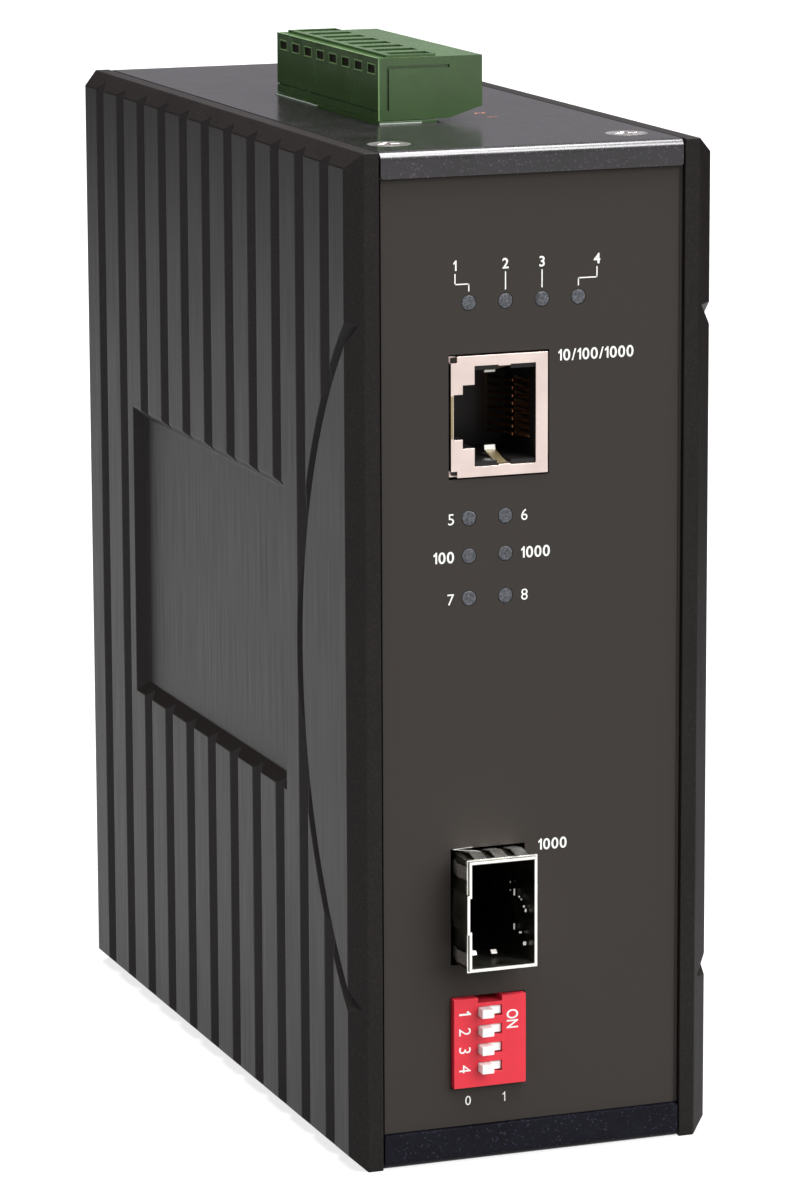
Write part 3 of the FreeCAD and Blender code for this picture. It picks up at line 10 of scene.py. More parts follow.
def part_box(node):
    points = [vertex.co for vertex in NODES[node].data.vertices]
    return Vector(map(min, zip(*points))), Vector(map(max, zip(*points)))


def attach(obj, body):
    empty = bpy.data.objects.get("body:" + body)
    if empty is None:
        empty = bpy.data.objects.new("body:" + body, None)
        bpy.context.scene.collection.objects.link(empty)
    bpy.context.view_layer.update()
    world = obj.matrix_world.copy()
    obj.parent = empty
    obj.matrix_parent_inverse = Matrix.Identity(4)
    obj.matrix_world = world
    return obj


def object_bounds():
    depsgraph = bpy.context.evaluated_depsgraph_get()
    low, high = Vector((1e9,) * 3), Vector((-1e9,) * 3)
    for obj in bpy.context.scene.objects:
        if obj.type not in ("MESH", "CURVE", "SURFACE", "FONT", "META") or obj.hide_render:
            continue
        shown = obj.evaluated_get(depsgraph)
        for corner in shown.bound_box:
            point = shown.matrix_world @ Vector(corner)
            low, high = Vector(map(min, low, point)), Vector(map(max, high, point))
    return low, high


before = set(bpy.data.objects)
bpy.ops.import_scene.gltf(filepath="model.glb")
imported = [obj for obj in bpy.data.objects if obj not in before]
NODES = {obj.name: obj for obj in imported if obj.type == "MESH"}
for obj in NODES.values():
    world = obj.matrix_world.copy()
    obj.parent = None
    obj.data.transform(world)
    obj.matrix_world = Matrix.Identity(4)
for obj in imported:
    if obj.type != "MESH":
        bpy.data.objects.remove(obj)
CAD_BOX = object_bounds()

bl_info = {
    "name": "Fibre media converter",
    "version": (1, 0, 0),
    "blender": (4, 5, 0),
    "location": "3D View > Sidebar > Converter",
    "description": "Finishes, printing and studio for a rail-mounted fibre media converter",
    "category": "Object",
}

MM = 0.001
FILM_LOW, FILM_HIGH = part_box("front_film")
JACK_LOW, JACK_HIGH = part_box("jack_shell")
CAGE_LOW, CAGE_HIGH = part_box("fibre_cage")
SWITCH_LOW, SWITCH_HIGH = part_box("switch_body")
STATUS_LOW, STATUS_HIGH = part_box("status_lights")
PORT_LOW, PORT_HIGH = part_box("port_lights")
PLUG_LOW, PLUG_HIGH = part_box("terminal_plug")
HEADER_LOW, HEADER_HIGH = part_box("terminal_header")
PLATE_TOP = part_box("top_plate")[1].z

# The cage's legs reach further left than its walls, so its centre is taken from the right wall.
CAGE_HALF = 4.75 * MM
CAGE_CENTRE = CAGE_HIGH.x - CAGE_HALF
CAGE_MIDDLE = (CAGE_LOW.z + CAGE_HIGH.z) / 2

POLES = 8
SPRINGS = 8
SLIDERS = 4
LENS_HALF = 1.0 * MM

# Corners nearer than this are one, faces within the flat angle are one, and edges past the
# sharp angle are rounded.
SAME_PLACE = 0.001 * MM
FLAT_ANGLE = math.radians(0.2)
SHARP_ANGLE = math.radians(22.0)

# Capital height, letter gap and bold outline of the built-in font, in shares of its size.
CAPITAL = 0.71
LETTER_GAP = 0.085
BOLD_OUTLINE = 0.016

# Places of the colour sockets on a Mix node.
MIX_FIRST, MIX_SECOND, MIX_RESULT = 6, 7, 2

# The band in which most of a noise's values lie.
NOISE_LOW, NOISE_HIGH = 0.3, 0.7


# ---------------------------------------------------------------- settings

def metres(name, description, default):
    return FloatProperty(name=name, description=description, default=default, unit="LENGTH",
                         precision=5, min=0.0)


def share(name, description, default):
    return FloatProperty(name=name, description=description, default=default, subtype="FACTOR",
                         min=0.0, max=1.0)


def colour(name, description, default):
    return FloatVectorProperty(name=name, description=description, default=default,
                               subtype="COLOR", size=3, min=0.0, max=1.0)


def strength(name, description, default, subtype="NONE"):
    return FloatProperty(name=name, description=description, default=default, min=0.0,
                         subtype=subtype)


def angle(name, description, degrees):
    return FloatProperty(name=name, description=description, default=math.radians(degrees),
                         subtype="ANGLE")


class StageSettings(bpy.types.PropertyGroup):
    floor: colour("Floor", "Colour of the plain floor", (0.16, 0.16, 0.16))
    floor_glow: share("Floor glow", "Light that the floor adds for the eye only", 0.80)
    world: share("World", "Strength of the even light from all sides", 0.36)
    key_strength: strength("Key", "Strength of the soft light from front right", 2.9)
    top_strength: strength("Top", "Strength of the soft light from above", 9.0)
    gloss_power: strength("Gloss", "Power of the softbox seen in glossy edges", 75.0,
                          subtype="POWER")
    left_card: colour("Left card", "Dark card that the left face mirrors", (0.01, 0.01, 0.01))
    rear_card: colour("Rear card", "Grey card that the top mirrors", (0.315, 0.31, 0.325))
    right_card: colour("Right card", "Dark card that the right chamfer mirrors",
                       (0.004, 0.003, 0.004))
    camera: FloatVectorProperty(name="Camera", description="Where the camera stands",
                                default=(-0.2494, -0.6784, 0.2116), subtype="TRANSLATION",
                                unit="LENGTH", precision=4)
    turn: angle("Turn", "How far the camera looks to the right of straight ahead", 20.39)
    tilt: angle("Tilt", "How far the camera looks down", 11.50)
    roll: angle("Roll", "How far the camera leans", -0.23)
    lens: FloatProperty(name="Lens", description="Focal length in millimetres", default=156.717,
                        min=1.0)


class HousingSettings(bpy.types.PropertyGroup):
    cover: colour("Covers", "Satin paint on the two die-cast side covers",
                  (0.0088, 0.0071, 0.0070))
    plate: colour("Plates", "Fine powder coat on the top plate and panels",
                  (0.010, 0.008, 0.010))
    base: colour("Base", "Blue-black powder coat on the bottom plate", (0.006, 0.006, 0.010))
    film: colour("Film", "Matt printed film on the front", (0.0415, 0.0362, 0.0325))
    cast_edge: metres("Cast edge", "Rounding of the covers' edges", 0.25 * MM)
    sheet_edge: metres("Sheet edge", "Rounding of the sheet-metal edges", 0.12 * MM)
    cast_grain: metres("Cast grain", "Size of the grain in the covers' paint", 0.30 * MM)
    powder_grain: metres("Powder grain", "Size of the grains in the powder coat", 0.22 * MM)


class PrintSettings(bpy.types.PropertyGroup):
    ink: colour("Ink", "White screen-printing ink", (0.86, 0.86, 0.84))
    ink_height: metres("Ink height", "How far the ink stands off the film", 0.02 * MM)
    status_text: metres("Status numbers", "Height of the numbers over the top lights",
                        1.35 * MM)
    port_text: metres("Port text", "Height of the text beside ports and lights", 1.5 * MM)
    switch_text: metres("Switch text", "Height of the figures on and under the switch",
                        1.3 * MM)
    line_width: metres("Line width", "Width of the leader lines", 0.16 * MM)
    plate_ink: colour("Plate ink", "Orange ink on the top plate", (0.50, 0.20, 0.12))


class PortSettings(bpy.types.PropertyGroup):
    shield: colour("Shield", "Tinned sheet of the copper jack", (0.64, 0.53, 0.49))
    steel: colour("Steel", "Bright steel of the cage's edges and fingers", (0.86, 0.84, 0.80))
    cage: colour("Cage", "Dull plated sheet of the fibre cage", (0.16, 0.155, 0.13))
    contact: colour("Contacts", "Plated spring contacts in the jack", (0.95, 0.50, 0.22))
    insert: colour("Insert", "Black moulded inserts", (0.006, 0.005, 0.005))
    lens: colour("Lens", "Unlit milky light lenses", (0.068, 0.072, 0.080))


class SwitchSettings(bpy.types.PropertyGroup):
    red: colour("Body", "Red moulded switch body", (0.69, 0.030, 0.050))
    white: colour("Sliders", "White moulded sliders", (0.96, 0.95, 0.94))


class TerminalSettings(bpy.types.PropertyGroup):
    green: colour("Block", "Green moulded terminal block", (0.030, 0.067, 0.017))
    # Colour of the painted highlights on the window rims and along the terminal block's edges.
    edge: colour("Edges", "Pale moulded edges of the terminal block", (0.16, 0.27, 0.11))
    pitch: metres("Pitch", "Distance between two poles", 5.08 * MM)
    tin: colour("Tin", "Tinned contacts and clamps", (0.70, 0.70, 0.68))
    screw: colour("Screws", "Bright steel screws", (0.66, 0.66, 0.65))


SETTINGS = {
    "stage": StageSettings,
    "housing": HousingSettings,
    "printing": PrintSettings,
    "ports": PortSettings,
    "switch": SwitchSettings,
    "terminals": TerminalSettings,
}


class ConverterSettings(bpy.types.PropertyGroup):
    stage: PointerProperty(type=StageSettings)
    housing: PointerProperty(type=HousingSettings)
    printing: PointerProperty(type=PrintSettings)
    ports: PointerProperty(type=PortSettings)
    switch: PointerProperty(type=SwitchSettings)
    terminals: PointerProperty(type=TerminalSettings)


def settings(context, group):
    return getattr(context.scene.converter, group)


# ---------------------------------------------------------------- materials

def start_material(name):
    """A new material, its node tree and its shader."""
    material = bpy.data.materials.new(name)
    material.use_nodes = True
    tree = material.node_tree
    return material, tree, tree.nodes["Principled BSDF"]


def add(tree, kind, inputs=None, **values):
    """A node of kind, with plain values or links for its inputs."""
    node = tree.nodes.new("ShaderNode" + kind)
    for key, value in values.items():
        setattr(node, key, value)
    for key, value in (inputs or {}).items():
        if isinstance(value, bpy.types.NodeSocket):
            tree.links.new(value, node.inputs[key])
        else:
            node.inputs[key].default_value = value
    return node


def ramp(tree, source, stops):
    """A colour ramp over source with (place, colour) stops."""
    node = add(tree, "ValToRGB", {"Fac": source})
    while len(node.color_ramp.elements) < len(stops):
        node.color_ramp.elements.new(0.5)
    for element, (place, tint) in zip(node.color_ramp.elements, stops):
        element.position = place
        element.color = (*tint, 1.0)
    return node.outputs["Color"]


def scaled(tint, factor):
    return tuple(min(1.0, channel * factor) for channel in tint)


def object_place(tree):
    return add(tree, "TexCoord").outputs["Object"]


def noise(tree, place, size, detail):
    """Values of a noise whose spots are about size wide."""
    return add(tree, "TexNoise", {"Vector": place, "Scale": 1.0 / size,
                                  "Detail": detail}).outputs["Fac"]


def spread(tree, source, low, high):
    """A value from low to high that follows a noise."""
    return add(tree, "MapRange", {"Value": source, "From Min": NOISE_LOW,
                                  "From Max": NOISE_HIGH, "To Min": low,
                                  "To Max": high}).outputs["Result"]


def blotches(tree, source, tint, low, high):
    """A tint from low to high times its strength that follows a noise."""
    return ramp(tree, source, [(NOISE_LOW, scaled(tint, low)), (NOISE_HIGH, scaled(tint, high))])


def maths(tree, operation, first, second=0.0):
    return add(tree, "Math", {0: first, 1: second}, operation=operation).outputs[0]


def mixed(tree, first, second, factor=1.0, blend="MIX"):
    node = add(tree, "Mix", {"Factor": factor, MIX_FIRST: first, MIX_SECOND: second},
               data_type="RGBA", blend_type=blend)
    return node.outputs[MIX_RESULT]


def finish(tree, shader, tint, roughness, specular=0.5, metallic=0.0):
    """Links a tint and a roughness to the shader, and sets its constants."""
    tree.links.new(tint, shader.inputs["Base Color"])
    tree.links.new(roughness, shader.inputs["Roughness"])
    shader.inputs["Specular IOR Level"].default_value = specular
    shader.inputs["Metallic"].default_value = metallic


def dimple(tree, shader, height, relief, invert=False):
    """Turns height into a fine relief on the surface."""
    bump = add(tree, "Bump", {"Height": height, "Distance": relief, "Strength": 1.0},
               invert=invert)
    tree.links.new(bump.outputs["Normal"], shader.inputs["Normal"])


def moulded(name, tint, roughness=0.4, grain=0.4 * MM, relief=0.01 * MM, mottle=0.08,
            patch=6 * MM, specular=0.5, metallic=0.0):
    """A finish with slow colour patches, uneven gloss and a fine surface grain."""
    material, tree, shader = start_material(name)
    place = object_place(tree)
    slow = noise(tree, place, patch, 3.0)
    fine = noise(tree, place, grain, 2.0)
    finish(tree, shader, blotches(tree, slow, tint, 1 - mottle, 1 + mottle),
           spread(tree, slow, roughness * 0.9, roughness * 1.1), specular, metallic)
    dimple(tree, shader, fine, relief)
    return material


def powder_coat(name, tint, grain, specular, relief, roughness):
    """Powder coat: close round grains, a few of them pale flecks, with a soft gloss."""
    material, tree, shader = start_material(name)
    place = object_place(tree)
    cells = add(tree, "TexVoronoi", {"Vector": place, "Scale": 1.0 / grain, "Randomness": 1.0})
    pick = add(tree, "SeparateColor", {"Color": cells.outputs["Color"]}).outputs["Red"]
    slow = noise(tree, place, 25 * grain, 3.0)
    patches = blotches(tree, slow, tint, 0.8, 1.2)
    flecks = ramp(tree, pick, [(0.0, (0.8, 0.8, 0.8)), (0.93, (1.2, 1.2, 1.2)),
                               (0.97, (4.0, 3.8, 4.0))])
    finish(tree, shader, mixed(tree, patches, flecks, blend="MULTIPLY"),
           spread(tree, slow, roughness * 0.9, roughness * 1.15), specular)
    dimple(tree, shader, cells.outputs["Distance"], relief, invert=True)
    return material


def cast_paint(name, tint, grain, specular):
    """Satin paint on a casting: faint upright streaks, slow patches and a few pale specks."""
    material, tree, shader = start_material(name)
    place = object_place(tree)
    slow = noise(tree, place, 14 * MM, 3.0)
    upright = add(tree, "Mapping", {"Vector": place, "Scale": (1.0, 1.0, 0.03)})
    streaks = noise(tree, upright.outputs["Vector"], 0.5 * MM, 3.0)
    specks = noise(tree, place, grain, 2.0)
    patches = blotches(tree, slow, tint, 0.9, 1.1)
    pale = ramp(tree, specks, [(0.0, (0.75, 0.75, 0.75)), (0.50, (1.0, 1.0, 1.0)),
                               (0.72, (1.9, 1.8, 1.8))])
    finish(tree, shader, mixed(tree, patches, pale, blend="MULTIPLY"),
           spread(tree, streaks, 0.36, 0.46), specular)
    dimple(tree, shader, maths(tree, "ADD", specks, streaks), 0.006 * MM)
    return material


def sheared_steel(name, tint, rim, low, high, width):
    """Dull plated sheet, bright on the outer part of its sheared front edge."""
    material, tree, shader = start_material(name)
    place = object_place(tree)
    axes = add(tree, "SeparateXYZ", {"Vector": place}).outputs
    deep, fade = 0.05 * MM, 0.03 * MM
    front = maths(tree, "SUBTRACT", low.y + deep, axes["Y"])
    past = []
    for axis, near, far in (("X", low.x, high.x), ("Z", low.z, high.z)):
        away = maths(tree, "ABSOLUTE", maths(tree, "SUBTRACT", axes[axis], (near + far) / 2))
        past.append(maths(tree, "SUBTRACT", away, (far - near) / 2 - width))
    edge = maths(tree, "MINIMUM", maths(tree, "MAXIMUM", *past), front)
    mask = add(tree, "MapRange", {"Value": edge, "From Min": 0.0, "From Max": fade,
                                  "To Min": 0.0, "To Max": 1.0}).outputs["Result"]
    slow = noise(tree, place, 2.5 * MM, 3.0)
    fine = noise(tree, place, 0.4 * MM, 2.0)
    finish(tree, shader, mixed(tree, blotches(tree, slow, tint, 0.7, 1.3), (*rim, 1.0), mask),
           spread(tree, slow, 0.26, 0.38), metallic=1.0)
    dimple(tree, shader, fine, 0.003 * MM)
    return material


def speckled_lens(name, tint):
    """A milky lens with fine pale and dark specks under a smooth face."""
    material, tree, shader = start_material(name)
    place = object_place(tree)
    specks = noise(tree, place, 0.22 * MM, 4.0)
    tones = ramp(tree, specks, [(0.35, scaled(tint, 0.55)), (0.5, tint),
                                (0.68, scaled(tint, 1.9))])
    finish(tree, shader, tones, spread(tree, specks, 0.45, 0.6), specular=0.2)
    return material


def dress(material, *names):
    """Gives CAD nodes their finish."""
    for name in names:
        mesh = NODES[name].data
        mesh.materials.clear()
        mesh.materials.append(material)


def soften(names, width):
    """Rounds the sharp edges of CAD nodes with modifiers, and leaves their meshes alone."""
    for name in names:
        node = NODES[name]
        weld = node.modifiers.new("Weld", "WELD")
        weld.merge_threshold = SAME_PLACE
        flat = node.modifiers.new("Flat faces", "DECIMATE")
        flat.decimate_type = "DISSOLVE"
        flat.angle_limit = FLAT_ANGLE
        bevel = node.modifiers.new("Soft edges", "BEVEL")
        bevel.limit_method = "ANGLE"
        bevel.angle_limit = SHARP_ANGLE
        bevel.width = width
        bevel.segments = 2
        bevel.use_clamp_overlap = True
        normals = node.modifiers.new("Even shading", "WEIGHTED_NORMAL")
        normals.weight = 100
        normals.keep_sharp = True


# ---------------------------------------------------------------- shapes and marks

def finished_mesh(name, target):
    mesh = bpy.data.meshes.new(name)
    target.to_mesh(mesh)
    target.free()
    return mesh


def as_piece(name, target, material, body="housing"):
    """Makes a visible piece of a bmesh, which rides on body."""
    mesh = finished_mesh(name, target)
    mesh.materials.append(material)
    piece = bpy.data.objects.new(name, mesh)
    bpy.context.scene.collection.objects.link(piece)
    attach(piece, body)


def face(target, corners):
    target.faces.new([target.verts.new(corner) for corner in corners])


def figure_one(bold):
    """A figure one with a flag and no foot, as tall as a capital."""
    stroke = 0.115 if bold else 0.075
    middle, tip, brow, chin = 0.20, 0.02, 0.66, 0.55
    left, right = middle - stroke / 2, middle + stroke / 2
    shape = bmesh.new()
    face(shape, ((left, 0.0, 0.0), (right, 0.0, 0.0), (right, CAPITAL, 0.0),
                 (left + 0.01, CAPITAL, 0.0), (left, brow, 0.0), (left, chin, 0.0)))
    face(shape, ((left, brow, 0.0), (tip, chin, 0.0), (tip, chin - stroke, 0.0),
                 (left, brow - 1.5 * stroke, 0.0)))
    return finished_mesh("figure_one", shape)


def letter_mesh(letter, bold):
    if letter == "1":
        return figure_one(bold)
    curve = bpy.data.curves.new("letter", "FONT")
    curve.body = letter
    curve.size = 1.0
    curve.resolution_u = 4
    curve.offset = BOLD_OUTLINE if bold else 0.0
    holder = bpy.data.objects.new("letter", curve)
    bpy.context.scene.collection.objects.link(holder)
    bpy.context.view_layer.update()
    mesh = bpy.data.meshes.new_from_object(holder)
    bpy.data.objects.remove(holder)
    bpy.data.curves.remove(curve)
    return mesh


def text_mesh(text, height, bold):
    """Flat letters of a given capital height, set side by side on y 0, facing +Z."""
    row = bmesh.new()
    reach = 0.0
    for letter in text:
        mesh = letter_mesh(letter, bold)
        xs = [vertex.co.x for vertex in mesh.vertices]
        mesh.transform(Matrix.Translation((reach - min(xs), 0.0, 0.0)))
        reach += max(xs) - min(xs) + LETTER_GAP
        row.from_mesh(mesh)
        bpy.data.meshes.remove(mesh)
    letters = finished_mesh("letters", row)
    letters.transform(Matrix.Diagonal((height / CAPITAL, height / CAPITAL, 1.0, 1.0)))
    return letters


def stamp(target, text, height, place, across, upward, align="centre", bold=False):
    """Adds letters to a bmesh, their middle height at place, running across.

    An across shorter than 1 narrows the letters.
    """
    mesh = text_mesh(text, height, bold)
    xs = [vertex.co.x for vertex in mesh.vertices]
    shift = {"left": -min(xs), "centre": -(min(xs) + max(xs)) / 2, "right": -max(xs)}[align]
    across, upward = Vector(across), Vector(upward)
    turn = Matrix((across, upward, across.cross(upward))).transposed().to_4x4()
    centred = Matrix.Translation((shift, -height / 2, 0))
    mesh.transform(Matrix.Translation(place) @ turn @ centred)
    target.from_mesh(mesh)
    bpy.data.meshes.remove(mesh)


def line(target, start, end, width, out):
    """Adds a thin flat strip from start to end to a bmesh, facing out."""
    start, end = Vector(start), Vector(end)
    along = (end - start).normalized()
    side = along.cross(Vector(out)) * (width / 2)
    reach = along * (width / 2)
    face(target, (start - reach - side, end + reach - side, end + reach + side,
                  start - reach + side))


def tongue(target, root, out, side):
    """Adds a small flat tongue with its root's middle at root, reaching out, side wide."""
    root, out, side = Vector(root), Vector(out), Vector(side)
    face(target, (root - side / 2, root + out - side / 2, root + out + side / 2,
                  root + side / 2))


def slab(target, low, high):
    """Adds a closed box between two corners."""
    low, high = Vector(low), Vector(high)
    made = bmesh.ops.create_cube(target, size=1.0)["verts"]
    middle, reach = (low + high) / 2, high - low
    for vertex in made:
        vertex.co = Vector(middle[i] + vertex.co[i] * reach[i] for i in range(3))


# ---------------------------------------------------------------- operators

class CONVERTER_OT_stage(bpy.types.Operator):
    """Floor, world, lights and camera"""
    bl_idname = "converter.stage"
    bl_label = "Stage"

    def execute(self, context):
        scene, look = context.scene, settings(context, "stage")
        scene.view_settings.view_transform = "Standard"
        self.make_floor(scene, look)
        self.make_world(scene, look)
        self.make_card(scene, "left_card", (-1.30, 0.60), (0.05, 1.05), look.left_card)
        self.make_card(scene, "rear_card", (0.05, 1.05), (1.40, 0.60), look.rear_card)
        self.make_card(scene, "right_card", (0.30, -0.35), (0.45, 0.55), look.right_card)
        self.make_sun(scene, "key", (0.50, -0.72, 0.48), look.key_strength)
        self.make_sun(scene, "overhead", (0.03, 0.06, 1.0), look.top_strength)
        self.make_softbox(scene, look)
        self.make_camera(scene, look)
        return {"FINISHED"}

    def make_sheet(self, scene, name, corners, tint, glow):
        """A flat sheet of the stage, with its node tree and its shader."""
        shape = bmesh.new()
        face(shape, corners)
        sheet = bpy.data.objects.new(name, finished_mesh(name, shape))
        scene.collection.objects.link(sheet)
        material, tree, shader = start_material(name)
        shader.inputs["Base Color"].default_value = (*tint, 1.0)
        shader.inputs["Specular IOR Level"].default_value = 0.0
        shader.inputs["Emission Color"].default_value = (*glow, 1.0)
        sheet.data.materials.append(material)
        return sheet, tree, shader

    def make_floor(self, scene, look):
        """A wide floor under the object, which adds light of its own for the eye only."""
        reach, level = 12.0, CAD_BOX[0].z
        corners = ((-reach, -reach, level), (reach, -reach, level), (reach, reach, level),
                   (-reach, reach, level))
        tree, shader = self.make_sheet(scene, "floor", corners, look.floor, (1.0, 1.0, 1.0))[1:]
        shader.inputs["Roughness"].default_value = 0.9
        glow = maths(tree, "MULTIPLY", self.seen_by_eye(tree), look.floor_glow)
        tree.links.new(glow, shader.inputs["Emission Strength"])

    def make_card(self, scene, name, start, end, tint):
        """An upright card behind or beside the object, which only glossy faces see."""
        low, high = CAD_BOX[0].z, CAD_BOX[0].z + 0.9
        corners = ((*start, low), (*end, low), (*end, high), (*start, high))
        card, _, shader = self.make_sheet(scene, name, corners, (0.0, 0.0, 0.0), tint)
        shader.inputs["Emission Strength"].default_value = 1.0
        card.visible_camera = False
        card.visible_diffuse = False
        card.visible_shadow = False
        card.visible_transmission = False

    def make_world(self, scene, look):
        world = bpy.data.worlds.new("studio")
        world.use_nodes = True
        scene.world = world
        tree = world.node_tree
        seen = self.seen_by_eye(tree)
        light = add(tree, "MapRange", {"Value": seen, "To Min": look.world, "To Max": 1.0})
        background = tree.nodes["Background"]
        background.inputs["Color"].default_value = (1.0, 1.0, 1.0, 1.0)
        tree.links.new(light.outputs["Result"], background.inputs["Strength"])

    def seen_by_eye(self, tree):
        """1 where the eye, a reflection or a clear part looks, 0 for light that only falls."""
        rays = add(tree, "LightPath").outputs
        both = maths(tree, "MAXIMUM", rays["Is Camera Ray"], rays["Is Glossy Ray"])
        return maths(tree, "MAXIMUM", both, rays["Is Transmission Ray"])

    def make_lamp(self, scene, name, kind, energy, toward):
        """A lamp that shines from the direction toward."""
        data = bpy.data.lights.new(name, kind)
        data.energy = energy
        lamp = bpy.data.objects.new(name, data)
        scene.collection.objects.link(lamp)
        lamp.rotation_mode = "QUATERNION"
        lamp.rotation_quaternion = Vector(toward).to_track_quat("Z", "Y")
        return lamp

    def make_sun(self, scene, name, toward, energy):
        """A wide soft light without a place of its own, kept out of glossy faces."""
        lamp = self.make_lamp(scene, name, "SUN", energy, toward)
        lamp.data.angle = math.radians(50.0)
        lamp.visible_glossy = False

    def make_softbox(self, scene, look):
        """A large softbox above, seen in glossy faces only."""
        place = Vector((0.45, -0.30, 1.05))
        middle = (CAD_BOX[0] + CAD_BOX[1]) / 2
        lamp = self.make_lamp(scene, "softbox", "AREA", look.gloss_power, place - middle)
        lamp.data.shape = "SQUARE"
        lamp.data.size = 1.0
        lamp.location = place
        lamp.visible_diffuse = False

    def make_camera(self, scene, look):
        data = bpy.data.cameras.new("camera")
        data.lens = look.lens
        data.sensor_width = 36.0
        data.clip_start = 0.05
        data.clip_end = 50.0
        camera = bpy.data.objects.new("camera", data)
        scene.collection.objects.link(camera)
        turn = Matrix.Rotation(-look.turn, 4, "Z")
        tilt = Matrix.Rotation(math.pi / 2 - look.tilt, 4, "X")
        lean = Matrix.Rotation(look.roll, 4, "Z")
        camera.matrix_world = Matrix.Translation(look.camera) @ turn @ tilt @ lean
        scene.camera = camera


class CONVERTER_OT_housing(bpy.types.Operator):
    """Paint on the side covers, powder coat on plates and panels, screws"""
    bl_idname = "converter.housing"
    bl_label = "Housing"

    def execute(self, context):
        look = settings(context, "housing")
        cast = cast_paint("cover_paint", look.cover, look.cast_grain, specular=0.125)
        dress(cast, "right_cover", "left_cover")
        soften(("right_cover", "left_cover"), look.cast_edge)
        powder = powder_coat("plate_paint", look.plate, look.powder_grain, specular=0.5,
                             relief=0.002 * MM, roughness=0.20)
        dress(powder, "top_plate", "front_panel", "rear_panel")
        base = powder_coat("base_paint", look.base, look.powder_grain, specular=0.08,
                           relief=0.002 * MM, roughness=0.25)
        dress(base, "bottom_plate")
        soften(("top_plate", "bottom_plate", "front_panel", "rear_panel"), look.sheet_edge)
        steel = moulded("screw_steel", (0.62, 0.58, 0.58), roughness=0.30, metallic=1.0,
                        relief=0.004 * MM, mottle=0.25, patch=0.8 * MM)
        dress(steel, "top_screws", "bottom_screws")
        soften(("top_screws", "bottom_screws"), 0.06 * MM)
        return {"FINISHED"}


class CONVERTER_OT_front_film(bpy.types.Operator):
    """Matt printed film, and the strip that closes it toward the right cover"""
    bl_idname = "converter.front_film"
    bl_label = "Front film"

    def execute(self, context):
        look = settings(context, "housing")
        film = moulded("front_film", look.film, roughness=0.62, grain=0.18 * MM,
                       relief=0.0010 * MM, mottle=0.012, patch=20 * MM, specular=0.05)
        dress(film, "front_film")
        soften(("front_film",), 0.04 * MM)
        margin = bmesh.new()
        lap, width = 0.1 * MM, 0.33 * MM
        slab(margin, (FILM_HIGH.x - lap, FILM_LOW.y, FILM_LOW.z),
             (FILM_HIGH.x + width, FILM_HIGH.y, FILM_HIGH.z))
        as_piece("film_margin", margin, film)
        return {"FINISHED"}


